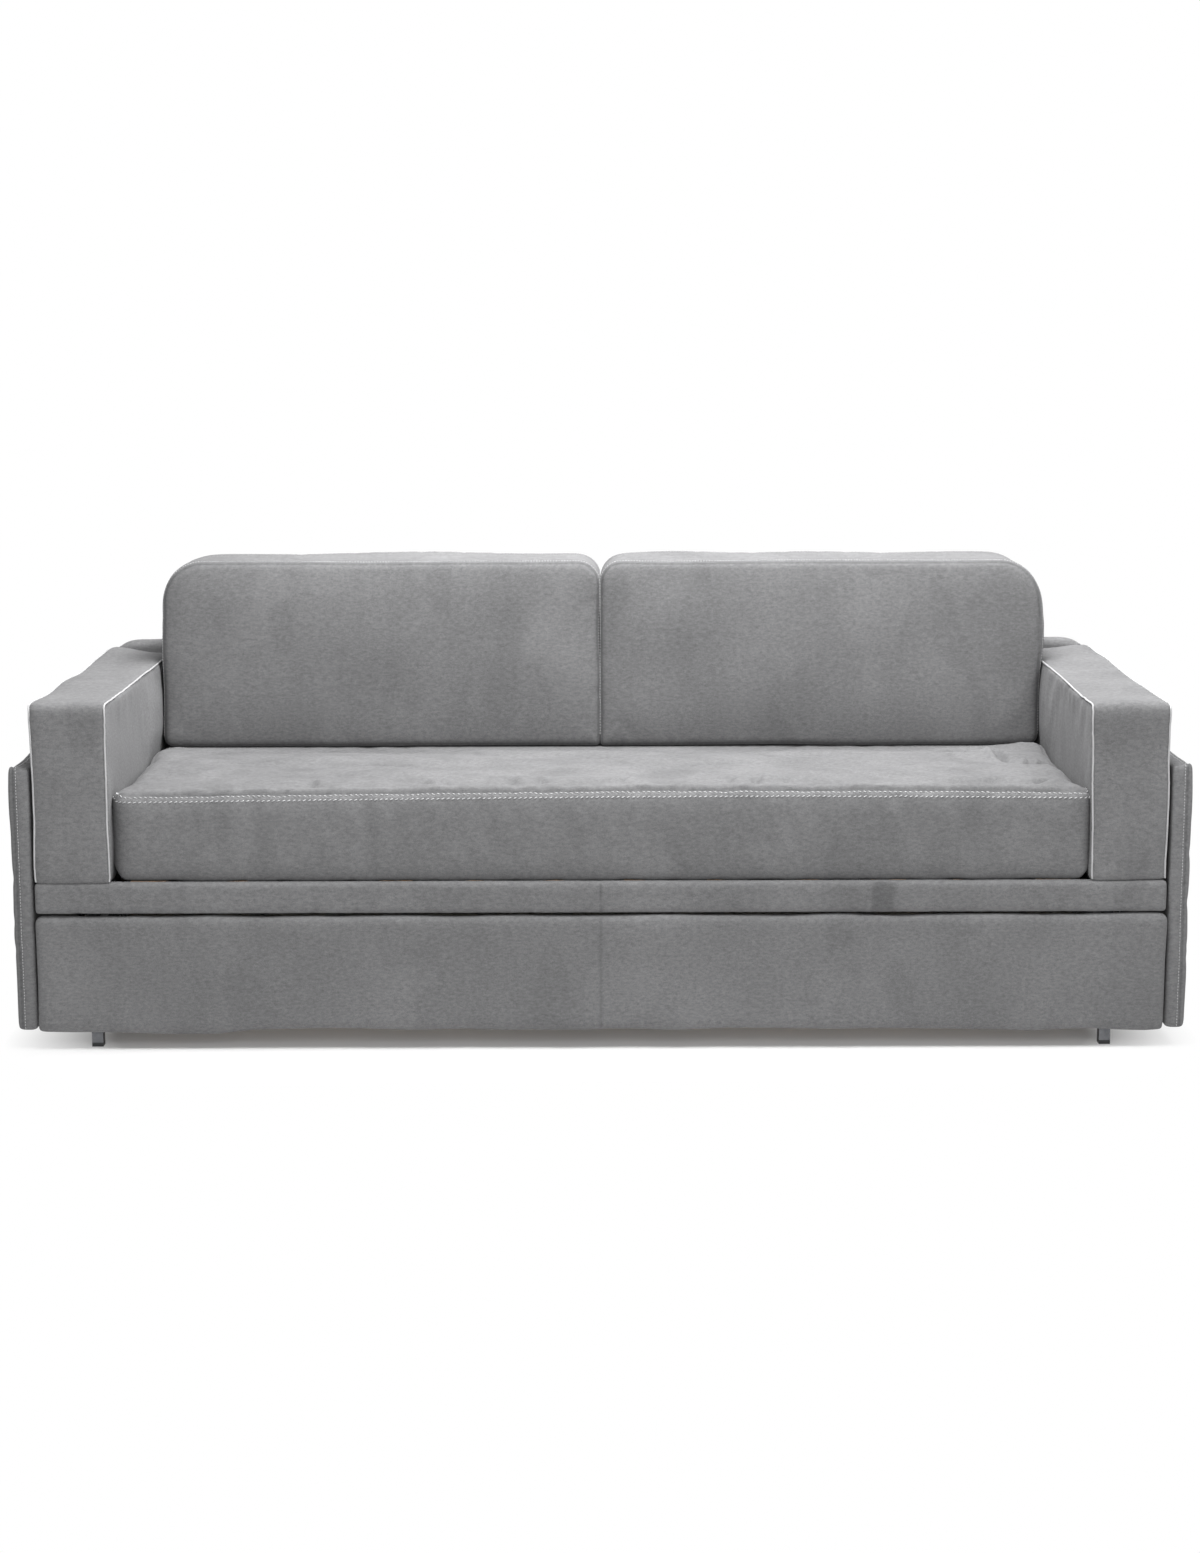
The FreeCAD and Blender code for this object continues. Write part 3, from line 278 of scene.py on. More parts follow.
PIPING = pale_piping()
THREAD = stitching_thread()
FINISHES = {
    "suede_fabric": suede_microfibre(),
    "ticking_fabric": mattress_ticking(),
    "beech": lacquered_beech(),
    "panel_board": melamine_board(),
    "coated_steel": powder_coat(),
    "bright_steel": bare_metal("satin_steel", "#5c5d60", "#747578", 0.45, (1, 1, 20)),
    "zinc_steel": bare_metal("zinc_plate", "#9ea1a3", "#b6b8ba", 0.4, (6, 6, 6)),
    "bronze": bare_metal("sintered_bronze", "#8f6c3a", "#b08a50", 0.45, (3, 3, 3)),
    "black_plastic": moulded_black("black_plastic", 0.5, 1.2),
    "black_rubber": moulded_black("black_rubber", 0.8, 2.5),
}


def new_object(name, data):
    """An object in the scene for a mesh, a lamp or a camera."""
    made = bpy.data.objects.new(name, data)
    bpy.context.scene.collection.objects.link(made)
    return made


def new_piece(name, points, edges, faces):
    """An object with a mesh of its own."""
    mesh = bpy.data.meshes.new(name)
    mesh.from_pydata(points, edges, faces)
    return new_object(name, mesh)


def box_grid(cells):
    """The surface of a block as a grid: lattice points as shares of the block, and outward quads."""
    nu, nv, nw = cells
    index, points, quads = {}, [], []

    def point(*p):
        if p not in index:
            index[p] = len(points)
            points.append(p)
        return index[p]

    for i in range(nu):
        for j in range(nv):
            quads.append([point(i, j, 0), point(i, j + 1, 0), point(i + 1, j + 1, 0), point(i + 1, j, 0)])
            quads.append([point(i, j, nw), point(i + 1, j, nw), point(i + 1, j + 1, nw), point(i, j + 1, nw)])
        for k in range(nw):
            quads.append([point(i, 0, k), point(i + 1, 0, k), point(i + 1, 0, k + 1), point(i, 0, k + 1)])
            quads.append([point(i, nv, k), point(i, nv, k + 1), point(i + 1, nv, k + 1), point(i + 1, nv, k)])
    for j in range(nv):
        for k in range(nw):
            quads.append([point(0, j, k), point(0, j, k + 1), point(0, j + 1, k + 1), point(0, j + 1, k)])
            quads.append([point(nu, j, k), point(nu, j + 1, k), point(nu, j + 1, k + 1), point(nu, j, k + 1)])
    return np.array(points, float) / np.array(cells), quads


# The corners of an outline in order, and the axes of a block: two of its outline, then the one through it.
CORNERS = ((-1, -1), (1, -1), (1, 1), (-1, 1))
BLOCK_AXES = {"x": (1, 2, 0), "y": (2, 0, 1), "z": (0, 1, 2)}


def round_corners(u, v, size, radii):
    """Draws the corners of a flat grid round."""
    for (su, sv), radius in zip(CORNERS, radii):
        du = su * u - (size[0] / 2 - radius)
        dv = sv * v - (size[1] / 2 - radius)
        inside = (du > 0) & (dv > 0)
        scale = np.ones_like(u)
        scale[inside] = np.maximum(du, dv)[inside] / np.hypot(du, dv)[inside]
        u = np.where(inside, su * (size[0] / 2 - radius + du * scale), u)
        v = np.where(inside, sv * (size[1] / 2 - radius + dv * scale), v)
    return u, v


def edge_distance(u, v, size, radii):
    """Distance in from a rounded outline, and the outward direction there."""
    corner = np.where(v < 0, np.where(u < 0, radii[0], radii[1]), np.where(u < 0, radii[3], radii[2]))
    du = np.abs(u) - (size[0] / 2 - corner)
    dv = np.abs(v) - (size[1] / 2 - corner)
    outside = np.hypot(np.maximum(du, 0), np.maximum(dv, 0))
    distance = corner - outside - np.minimum(np.maximum(du, dv), 0)
    in_corner = (du > 0) & (dv > 0)
    nu = np.where(in_corner, du, np.where(du >= dv, 1.0, 0.0))
    nv = np.where(in_corner, dv, np.where(du >= dv, 0.0, 1.0))
    length = np.hypot(nu, nv)
    return distance, np.sign(u) * nu / length, np.sign(v) * nv / length


def corners_of(node, low_gap=(0, 0, 0), high_gap=(0, 0, 0)):
    """A node's lowest and highest corners, drawn in by gaps in millimetres."""
    low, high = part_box(node)
    return np.array(low) + np.array(low_gap) * MM, np.array(high) - np.array(high_gap) * MM


# Padded pieces as blocks, in millimetres: the solid each stands for, the axis through it, the pitch of its
# grid, corner radii round its outline, edge radii of its low and high face, and gaps to the low and the high
# corner of the solid. Then how firmly foam holds the cover, the cover's slack, and how far it may move.
Block = namedtuple("Block", "node through pitch corners edges low_gap high_gap foam slack cap")
BLOCKS = {
    "seat_pad": Block("seat_mattress", "z", 13.3, (40, 15, 20, 20), (9, 10), (-1, 4, -0.5), (-1.5, 3, 4),
                      0.2, 0.010, 12),
    "front_sleeve": Block("front_panel_cover", "y", 11, (6, 13, 13, 6), (8, 4), (1, 3, 0), (1, 0, 1),
                          0.25, 0.006, 5),
    "front_band_cover": Block("front_band", "y", 9, (5, 5, 5, 5), (6, 3), (0, 2, 0), (0, 0, 0),
                              0.3, 0.006, 4),
    "rear_band_cover": Block("rear_band", "y", 9, (5, 5, 5, 5), (3, 6), (0, 0, 0), (0, 2, 1),
                             0.3, 0.006, 4),
    "back_panel_sleeve": Block("back_panel_cover", "y", 14, (6, 42, 42, 6), (14, 12), (2, 1, 1), (2, 3, 3),
                               0.2, 0.006, 6),
    "lower_mattress_pad": Block("lower_mattress", "z", 15, (40, 40, 40, 40), (9, 9), (3, 3, 0), (3, 3, 8),
                                0.25, 0.002, 6),
    "back_pad_left": Block("back_cushion_left", "y", 12, (22, 88, 48, 8), (15, 15), (9, 0, 0), (-2, 0, 5),
                           0.12, 0.004, 14),
    "back_pad_right": Block("back_cushion_right", "y", 12, (8, 48, 88, 22), (15, 15), (-2, 0, 0), (4, 0, 5),
                            0.12, 0.004, 14),
    "arm_pad_left": Block("armrest_cover_left", "x", 11, (4, 4, 14, 16), (5, 5), (2, 3, -2), (0, 1, 3),
                          0.25, 0.001, 4),
    "arm_pad_right": Block("armrest_cover_right", "x", 11, (4, 4, 14, 16), (5, 5), (0, 3, -2), (2, 1, 3),
                           0.25, 0.001, 4),
    "side_sleeve_left": Block("side_panel_cover_left", "x", 11, (8, 8, 9, 9), (9, 7), (2.5, 2, 0), (0, 2, 2),
                              0.25, 0.008, 3.5),
    "side_sleeve_right": Block("side_panel_cover_right", "x", 11, (8, 8, 9, 9), (7, 9), (0, 2, 0),
                               (2.5, 2, 2), 0.25, 0.008, 3.5),
}
# The back pads stand upright between these depths until they are leaned back.
BACK_FRONT, BACK_REAR = 154 * MM, 354 * MM


def block_box(name):
    """The low and the high corner of a block before it swells."""
    block = BLOCKS[name]
    low, high = corners_of(block.node, block.low_gap, block.high_gap)
    if name.startswith("back_pad"):
        low[1], high[1] = BACK_FRONT, BACK_REAR
    return low, high


def soft_block(name):
    """A closed block with a rounded outline and a rounded edge round its low and its high face.
    The vertices of both edges go into the group seams, which the cloth run holds."""
    block = BLOCKS[name]
    axes, radii = list(BLOCK_AXES[block.through]), np.array(block.corners) * MM
    low, high = block_box(name)
    size = (high - low)[axes]
    middle = ((low + high) / 2)[axes]
    share, quads = box_grid([max(3, round(s / (block.pitch * MM))) for s in size])
    u, v, w = ((share[:, i] - 0.5) * size[i] for i in range(3))
    u, v = round_corners(u, v, size, radii)
    held = np.zeros(len(u), bool)
    for sign, radius in zip((-1, 1), np.array(block.edges) * MM):
        inward, nu, nv = edge_distance(u, v, size, radii)
        depth = size[2] / 2 - sign * w
        near = (inward < radius) & (depth < radius)
        a, b = radius - inward, radius - depth
        scale = radius / np.maximum(np.hypot(a, b), 1e-9)
        shift = np.where(near, a * scale - a, 0)
        u, v = u + nu * shift, v + nv * shift
        w = np.where(near, sign * (size[2] / 2 - radius + b * scale), w)
        held |= near
    points = np.empty((len(u), 3))
    points[:, axes] = np.stack((u, v, w), 1) + middle
    piece = new_piece(name, points.tolist(), [], quads)
    piece.vertex_groups.new(name="seams").add(np.flatnonzero(held).tolist(), 1.0, "REPLACE")
    return piece


def vertex_rows(mesh, value):
    """A value of a mesh's vertices, such as co or normal, as rows."""
    rows = np.empty(len(mesh.vertices) * 3)
    mesh.vertices.foreach_get(value, rows)
    return rows.reshape(-1, 3)


def points_of(piece):
    """Where a piece's vertices are, as rows."""
    return vertex_rows(piece.data, "co")


def surface_of(piece):
    """A piece's vertices and their normals, both as rows."""
    return points_of(piece), vertex_rows(piece.data, "normal")


def set_points(piece, points):
    """Moves a mesh's vertices."""
    piece.data.vertices.foreach_set("co", np.ascontiguousarray(points).ravel())
    piece.data.update()


def swell_pads(pieces):
    """Blows all padded pieces up together as cloth over foam, and keeps the result in their meshes."""
    for piece in pieces:
        block = BLOCKS[piece.name]
        seams = piece.vertex_groups["seams"].index
        held = [v.index for v in piece.data.vertices if any(g.group == seams for g in v.groups)]
        group = piece.vertex_groups.new(name="foam")
        group.add(range(len(piece.data.vertices)), block.foam, "REPLACE")
        group.add(held, SEAM_HOLD, "REPLACE")
        modifier = piece.modifiers.new("cloth", "CLOTH")
        cloth = modifier.settings
        for label, value in CLOTH.items():
            setattr(cloth, label, value)
        cloth.shrink_min = -block.slack
        cloth.effector_weights.gravity = 0
        modifier.point_cache.frame_start = 1
        modifier.point_cache.frame_end = SIM_FRAMES
    for step in range(1, SIM_FRAMES + 1):
        bpy.context.scene.frame_set(step)
    graph = bpy.context.evaluated_depsgraph_get()
    for piece in pieces:
        cap, start = BLOCKS[piece.name].cap * MM, points_of(piece)
        shift = vertex_rows(piece.evaluated_get(graph).data, "co") - start
        length = np.linalg.norm(shift, axis=1, keepdims=True)
        shift *= cap * np.tanh(length / cap) / np.maximum(length, 1e-9)
        piece.modifiers.clear()
        piece.vertex_groups.clear()
        set_points(piece, start + shift)
    bpy.context.scene.frame_set(1)


def apply_modifiers(piece):
    """Gives a piece the plain mesh that its modifiers make of its own."""
    made = bpy.data.meshes.new_from_object(piece.evaluated_get(bpy.context.evaluated_depsgraph_get()))
    piece.modifiers.clear()
    start, name = piece.data, piece.data.name
    piece.data = made
    bpy.data.meshes.remove(start)
    made.name = name
    return made


def refine(piece):
    """One subdivision, applied, with smooth shading; gives the new vertices and their normals."""
    modifier = piece.modifiers.new("fine", "SUBSURF")
    modifier.levels = modifier.render_levels = 1
    fine = apply_modifiers(piece)
    # An attribute that carries painted shade to the suede material.
    fine.attributes.new("seam", "FLOAT", "POINT")
    fine.polygons.foreach_set("use_smooth", [True] * len(fine.polygons))
    return surface_of(piece)


def ripples(points, wavelength, seed, waves=32):
    """A smooth random field of about -1 to 1 whose bumps have one size."""
    rng = np.random.default_rng(seed)
    directions = rng.normal(size=(waves, 3))
    directions /= np.linalg.norm(directions, axis=1, keepdims=True)
    pace = 2 * math.pi / wavelength * rng.uniform(0.7, 1.4, waves)
    phase = rng.uniform(0, 2 * math.pi, waves)
    return np.cos(points @ (directions * pace[:, None]).T + phase).sum(1) * math.sqrt(2 / waves) / 1.6


def rippled(points, normals, wavelength, height, seed, share=1.0, stretch=(1, 1, 1)):
    """Points moved along their normals by a random field of a height, as far as a share lets it."""
    move = ripples(points / stretch, wavelength, seed) * height * share
    return points + normals * move[:, None]


def between(values, places, heights):
    """Heights at some values, drawn straight between places and heights given in millimetres."""
    return np.interp(values, np.array(places) * MM, np.array(heights) * MM)


def fade(values, start, stop):
    """A smooth step from 0 at start to 1 at stop, whichever of the two is higher."""
    share = np.clip((values - start) / (stop - start), 0, 1)
    return share * share * (3 - 2 * share)


def outline_path(name, inset, level):
    """Points round a block's outline, inset from it, at a level through the block."""
    axes = list(BLOCK_AXES[BLOCKS[name].through])
    low, high = block_box(name)
    half = ((high - low) / 2)[axes]
    middle = ((low + high) / 2)[axes]
    turns = []
    for (su, sv), radius, start in zip(CORNERS, BLOCKS[name].corners, (180, 270, 0, 90)):
        bend = max(radius * MM - inset, 2 * MM)
        for angle in np.radians(start + np.linspace(0, 90, 13)):
            turns.append((su * (half[0] - inset - bend) + bend * math.cos(angle),
                          sv * (half[1] - inset - bend) + bend * math.sin(angle)))
    path = []
    for first, second in zip(turns, turns[1:] + turns[:1]):
        count = max(1, math.ceil(math.dist(first, second) / PATH_STEP))
        path += [np.array(first) + (np.array(second) - first) * i / count for i in range(count)]
    path = np.array(path)
    points = np.empty((len(path), 3))
    points[:, axes] = np.column_stack((path, np.full(len(path), level - middle[2]))) + middle
    return points


def upright_path(x, y, bottom, top):
    """Points up a straight line."""
    return np.array([(x, y, z) for z in np.arange(bottom, top, PATH_STEP)])


def stretch_of(path, good):
    """The run of a closed path whose points are marked good, as an open path."""
    first = np.flatnonzero(good & ~np.roll(good, 1))[0]
    path, good = np.roll(path, -first, 0), np.roll(good, -first)
    stop = np.flatnonzero(~good)
    return path[: stop[0]] if len(stop) else path


def search_tree(piece):
    """A piece's surface, ready for a search of its nearest point."""
    corners = [tuple(p) for p in points_of(piece)]
    return BVHTree.FromPolygons(corners, [tuple(p.vertices) for p in piece.data.polygons])


def lay_on(piece, path, lift=0.0):
    """A path laid on a piece's surface: its points, lifted off it, and the surface's normals there."""
    tree = search_tree(piece)
    places, ups = [], []
    for point in path:
        place, up, _, _ = tree.find_nearest(Vector(point))
        places.append(place + up * lift)
        ups.append(up)
    return np.array(places), np.array(ups)


def paint_shade(piece, shade):
    """Paints shade into a piece's colour: how much darker each point is painted, from 0 to 1, as in a seam's
    furrow or a fold.
    """
    # Painted shade is held in the mesh's seam attribute.
    nap = piece.data.attributes["seam"].data
    held = np.empty(len(nap))
    nap.foreach_get("value", held)
    nap.foreach_set("value", np.maximum(held, shade))


def press_seam(piece, path, width, depth):
    """Draws a seam's furrow into a piece along a path laid on it, and paints shade along the furrow."""
    path, _ = lay_on(piece, path)
    tree = KDTree(len(path))
    for i, point in enumerate(path):
        tree.insert(Vector(point), i)
    tree.balance()
    points, normals = surface_of(piece)
    reach = 3 * width
    low, high = path.min(0) - reach, path.max(0) + reach
    near = np.flatnonzero(((points > low) & (points < high)).all(1))
    away = np.array([tree.find(Vector(points[i]))[2] for i in near])
    furrow = np.exp(-(away / width) ** 2)
    points[near] -= normals[near] * (depth * furrow)[:, None]
    set_points(piece, points)
    # Painted shade along the furrow.
    shade = np.zeros(len(points))
    shade[near] = np.exp(-(away / (0.7 * width)) ** 2)
    paint_shade(piece, shade)


def paint_contact_shadow(piece, other, reach, amount):
    """Paints a contact shadow into a piece's colour where another one presses against it."""
    tree, points = search_tree(other), points_of(piece)
    shade = np.zeros(len(points))
    for i, point in enumerate(points):
        away = tree.find_nearest(Vector(point), 3 * reach)[3]
        if away is not None:
            shade[i] = amount * math.exp(-(away / reach) ** 2)
    paint_shade(piece, shade)


def press_dents(piece, dents):
    """Small hollows, each a place, a radius and a depth in metres."""
    points, normals = surface_of(piece)
    for place, radius, depth in dents:
        away = np.linalg.norm(points - np.array(place), axis=1)
        points -= normals * (depth * np.exp(-(away / radius) ** 2))[:, None]
    set_points(piece, points)


def tuck_hem(piece, low, tucks, height, depth):
    """Small tucks along a front piece's lower edge, each a place and a radius in millimetres."""
    press_dents(piece, [((x * MM, low[1], low[2] + height), size * MM, depth) for x, size in tucks])


def geometry_tree(name, sizes):
    """A Geometry Nodes tree with named sizes; gives the tree, its input node and its output node."""
    tree = bpy.data.node_groups.new(name, "GeometryNodeTree")
    tree.interface.new_socket("Geometry", in_out="INPUT", socket_type="NodeSocketGeometry")
    for label, value in sizes.items():
        socket = tree.interface.new_socket(label, in_out="INPUT", socket_type="NodeSocketFloat")
        socket.default_value = value
    tree.interface.new_socket("Geometry", in_out="OUTPUT", socket_type="NodeSocketGeometry")
    return tree, add(tree, "NodeGroupInput"), add(tree, "NodeGroupOutput")


def spaced_lines(tree, given, step):
    """The lines given to a tree as curves with evenly spaced points."""
    curve = add(tree, "GeometryNodeMeshToCurve", {"Mesh": given.outputs["Geometry"]}).outputs[0]
    inputs = {"Curve": curve, "Length": step}
    return add(tree, "GeometryNodeResampleCurve", inputs, mode="LENGTH").outputs[0]


def close_tree(tree, geometry, material, output):
    """Ends a tree: instances made real, smooth shading and the material."""
    real = add(tree, "GeometryNodeRealizeInstances", {"Geometry": geometry}).outputs[0]
    smooth = add(tree, "GeometryNodeSetShadeSmooth", {"Geometry": real}).outputs[0]
    done = add(tree, "GeometryNodeSetMaterial", {"Geometry": smooth, "Material": material}).outputs[0]
    tree.links.new(done, output.inputs[0])


def stitch_tree():
    """Stitches along lines: each lies flat on the surface whose normal is up, and may slant."""
    sizes = {"Pitch": STITCH_PITCH, "Length": STITCH_LENGTH, "Thread Radius": THREAD_RADIUS, "Slant": 0.0}
    tree, given, output = geometry_tree("stitch_row", sizes)
    spaced = spaced_lines(tree, given, given.outputs["Pitch"])
    ball = add(tree, "GeometryNodeMeshUVSphere", {"Segments": 6, "Rings": 4, "Radius": 1.0}).outputs[0]
    half = add(tree, "ShaderNodeMath", {0: given.outputs["Length"], 1: 0.5}, operation="MULTIPLY").outputs[0]
    thread = given.outputs["Thread Radius"]
    scale = add(tree, "ShaderNodeCombineXYZ", {"X": half, "Y": thread, "Z": thread}).outputs[0]
    angles = add(tree, "ShaderNodeCombineXYZ", {"Z": given.outputs["Slant"]}).outputs[0]
    slant = add(tree, "FunctionNodeEulerToRotation", {"Euler": angles}).outputs[0]
    inputs = {"Geometry": ball, "Scale": scale, "Rotation": slant}
    stitch = add(tree, "GeometryNodeTransform", inputs).outputs[0]
    along = add(tree, "GeometryNodeInputTangent").outputs[0]
    up = add(tree, "GeometryNodeInputNamedAttribute", {"Name": "up"}, data_type="FLOAT_VECTOR").outputs[0]
    turn = add(tree, "FunctionNodeAxesToRotation", {"Primary Axis": along, "Secondary Axis": up},
               primary_axis="X", secondary_axis="Z").outputs[0]
    inputs = {"Points": spaced, "Instance": stitch, "Rotation": turn}
    close_tree(tree, add(tree, "GeometryNodeInstanceOnPoints", inputs).outputs[0], THREAD, output)
    return tree


def piping_tree():
    """A round cord along lines."""
    tree, given, output = geometry_tree("piping_cord", {"Cord Radius": PIPING_RADIUS})
    inputs = {"Resolution": 8, "Radius": given.outputs["Cord Radius"]}
    ring = add(tree, "GeometryNodeCurvePrimitiveCircle", inputs).outputs[0]
    inputs = {"Curve": spaced_lines(tree, given, CORD_STEP), "Profile Curve": ring, "Fill Caps": True}
    close_tree(tree, add(tree, "GeometryNodeCurveToMesh", inputs).outputs[0], PIPING, output)
    return tree


STITCHES = stitch_tree()
CORD = piping_tree()


def sewn(name, tree, rows, body, closed=False, sizes=None):
    """One plain mesh made by a tree along rows of points with normals, closed into rings or not."""
    points, edges, ups = [], [], []
    for places, normals in rows:
        first = len(points)
        points += [tuple(p) for p in places]
        ups += [tuple(n) for n in normals]
        edges += [(i, i + 1) for i in range(first, len(points) - 1)]
        if closed:
            edges.append((len(points) - 1, first))
    piece = new_piece(name, points, edges, [])
    up = piece.data.attributes.new("up", "FLOAT_VECTOR", "POINT")
    up.data.foreach_set("vector", np.array(ups).ravel())
    modifier = piece.modifiers.new("sewing", "NODES")
    modifier.node_group = tree
    sockets = {s.name: s.identifier for s in tree.interface.items_tree if s.in_out == "INPUT"}
    for label, value in (sizes or {}).items():
        modifier[sockets[label]] = value
    apply_modifiers(piece)
    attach(piece, body)
    return piece


def dressed(piece, body, slot="suede_fabric"):
    """Gives a finished pad its material and its body, and hides the solid that it stands for."""
    piece.data.materials.clear()
    piece.data.materials.append(FINISHES[slot])
    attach(piece, body)
    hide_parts(BLOCKS[piece.name].node)


# The long seat pad, which is the upper bed's mattress: where the back cushions begin on it.
CUSHION_LINE = 140 * MM
# Rise of the top along the front seam and before the back cushions, by the place from left to right.
SEAM_PLACES, SEAM_RISES = (-953, -500, 0, 350, 700, 953), (-1, 4, 8, 9, 7, 4)
HUMP_PLACES = (-953, -900, -700, -500, -300, 0, 200, 400, 650, 780, 850, 900, 953)
HUMP_RISES = (6, 6, 1, -4, -1, 3, 2, -3, -3, 4, 8, 13, 12)
SEAT_CROWN = 4 * MM
# The top billows up behind the stitched edge, and draws in from the armrests behind the front corners.
SEAM_STEP, END_GAP = 6 * MM, 5 * MM
END_DROP, CORNER_LIFT, LEFT_FOOT_LIFT = 15 * MM, 15 * MM, 2 * MM
# Stitch rows by the seam: inset from the outline and rise over its top in millimetres, and way of slanting.
SEAT_ROWS = {"lower": (-4, -7, 1), "upper": (4.5, 4, -1)}
STITCH_SLANT = math.radians(24)
FRONT_ROW_REACH = 38 * MM
# How far the grid's rows draw together behind the seam, as a share of their distance from it.
ROW_GATHER = 0.6
# Random waves of the cover: wavelength, height and seed.
TOP_WAVES, FACE_WAVES = (135 * MM, 3.2 * MM, 11), (120 * MM, 1.0 * MM, 21)
SEAM_PUCKERS = (45 * MM, 3.2 * MM, 9)
# Size and seed of the patches of painted shade on the open top.
HOLLOW_SIZE, HOLLOW_SEED = 85 * MM, 15
# Painted shade: how dark it is painted in a crease, by its depth, along the front seam, in patches as of
# hollows, and at most.
CREASE_SHADE, SEAM_SHADE, HOLLOW_SHADE, MOST_SHADE = 0.10, 0.25, 0.2, 0.7
# The ridge beside a crease: its share of the depth, its place and its width, by the crease's own width.
RIDGE_SHARE, RIDGE_PLACE, RIDGE_WIDTH = 0.55, 1.7, 1.2
CREASE_SCALE = 2.8
# Creases of the top: start, turn from straight back towards the right, length, depth and width.
SEAT_CREASES = (
    (303, -392, 12, 75, 3.4, 8), (250, -392, 18, 60, 2.6, 8), (362, -392, 10, 50, 2.4, 8),
    (690, -392, 22, 65, 3.0, 8), (760, -392, 30, 55, 2.6, 8), (848, -394, 52, 95, 3.2, 9),
    (-332, -392, -20, 80, 2.6, 9), (-296, -390, -30, 60, 2.0, 9), (-172, -392, -8, 95, 3.0, 10),
    (-112, -392, -25, 75, 2.4, 9), (-560, -392, -15, 65, 2.4, 9), (40, -392, 15, 55, 2.2, 8),
    (838, 45, 182, 215, 6.0, 10), (886, -125, 196, 80, 4.6, 8), (912, -135, 222, 65, 4.2, 8),
    (800, 60, 232, 150, 2.6, 12), (690, 10, 95, 130, 2.0, 13), (-720, -90, 72, 190, 2.2, 17),
    (-890, -240, 58, 150, 2.6, 15), (430, -30, 82, 230, 2.0, 18), (-20, -60, 100, 270, 2.2, 20),
    (-480, -150, 105, 170, 2.2, 16), (180, -190, 70, 160, 2.0, 15),
)
# Folds of the front face: place, lean, width and depth.
FACE_FOLDS = (
    (570, 0.42, 24, 4.5), (635, 0.5, 28, -3.2), (-465, 0.05, 14, 2.4), (-590, -0.05, 24, 2.0),
    (-250, 0.2, 40, 1.6),
)


def seat_creases(x, y):
    """Creases of the seat's top: how far its points move, and how much shade is painted there."""
    move, shade = np.zeros_like(x), np.zeros_like(x)
    for start_x, start_y, turn, length, depth, width in SEAT_CREASES:
        angle = math.radians(turn)
        right, back = x - start_x * MM, y - start_y * MM
        along = (right * math.sin(angle) + back * math.cos(angle)) / (length * MM)
        across = (right * math.cos(angle) - back * math.sin(angle)) / (width * MM)
        ridge = np.exp(-((across - RIDGE_PLACE) / RIDGE_WIDTH) ** 2)
        fold = np.exp(-across ** 2) - RIDGE_SHARE * ridge
        fold *= fade(along, -0.08, 0.12) * fade(along, 1.0, 0.45)
        move -= CREASE_SCALE * depth * MM * fold
        # Painted shade in the crease's trough.
        shade += CREASE_SHADE * depth * np.clip(fold, 0, None)
    return move, shade


def seat_folds(points, normals):
    """Crumples of the seat's cover: waves and creases on top, puckers behind the front seam, folds in front.
    Gives how far each point moves, and how much shade is painted there."""
    x, y, z = points.T
    behind, down = y - y.min(), z.max() - z
    upward, forward = fade(normals[:, 2], 0.5, 0.9), fade(-normals[:, 1], 0.6, 0.95)
    open_top = upward * fade(y, CUSHION_LINE, CUSHION_LINE - 70 * MM)
    move, shade = (upward * part for part in seat_creases(x, y))
    size, height, seed = TOP_WAVES
    move += open_top * ripples(points / (2.0, 1, 1), size, seed) * height * fade(behind, 15 * MM, 70 * MM)
    # Painted shade in random patches, as if in hollows of the top; its field is not the waves that shape the
    # top.
    shade_patches = np.clip(ripples(points / (1.6, 1, 1), HOLLOW_SIZE, HOLLOW_SEED), 0, None)
    shade += HOLLOW_SHADE * open_top * shade_patches
    size, height, seed = SEAM_PUCKERS
    puckers = upward * ripples(points * (1, 0, 0), size, seed)
    gather = np.exp(-behind / (40 * MM))
    move += puckers * gather * height * fade(behind, 9 * MM, 20 * MM)
    # Painted shade behind the front seam, darker where the puckers dip.
    shade += SEAM_SHADE * gather * np.clip(upward - 0.5 * puckers, 0, None)
    for place, lean, width, depth in FACE_FOLDS:
        across = x - place * MM - lean * down
        move -= forward * depth * MM * np.exp(-(across / (width * MM)) ** 2) * fade(down, 0, 25 * MM)
    size, height, seed = FACE_WAVES
    move += forward * ripples(points / (1, 1, 2.2), size, seed) * height
    return move, np.minimum(shade, MOST_SHADE)


def seat_settled(points, low, high):
    """The seat's uneven rise: an arched front seam, a crown, humps before the cushions and soft ends."""
    x, y, z = points.T
    behind, up, from_end = y - low[1], z - low[2], high[0] - np.abs(x)
    tall = fade(z, low[2] + 60 * MM, high[2])
    seam = between(x, SEAM_PLACES, SEAM_RISES) * fade(y, 50 * MM, -150 * MM)
    hump = between(x, HUMP_PLACES, HUMP_RISES) * np.exp(-((y - CUSHION_LINE + 35 * MM) / (55 * MM)) ** 2)
    crown = SEAT_CROWN * fade(behind, 20 * MM, 90 * MM) + SEAM_STEP * fade(behind, 9 * MM, 19 * MM)
    crown *= fade(y, CUSHION_LINE, 0)
    end = END_DROP * fade(from_end, 60 * MM, 0) ** 1.5
    end *= fade(behind, 20 * MM, 110 * MM) * fade(y, 80 * MM, -60 * MM)
    corner = CORNER_LIFT * fade(from_end, 30 * MM, 0) ** 2 * fade(up, 45 * MM, 0)
    foot = LEFT_FOOT_LIFT * fade(x - low[0], 260 * MM, 15 * MM)
    foot *= fade(up, 60 * MM, 0) * fade(behind, 90 * MM, 20 * MM)
    drawn_in = END_GAP * fade(from_end, 40 * MM, 0) * tall * fade(y, -350 * MM, -270 * MM)
    rise = tall * (seam + hump + crown - end) + corner + foot
    return np.column_stack((x - np.sign(x) * drawn_in, y, z + rise))


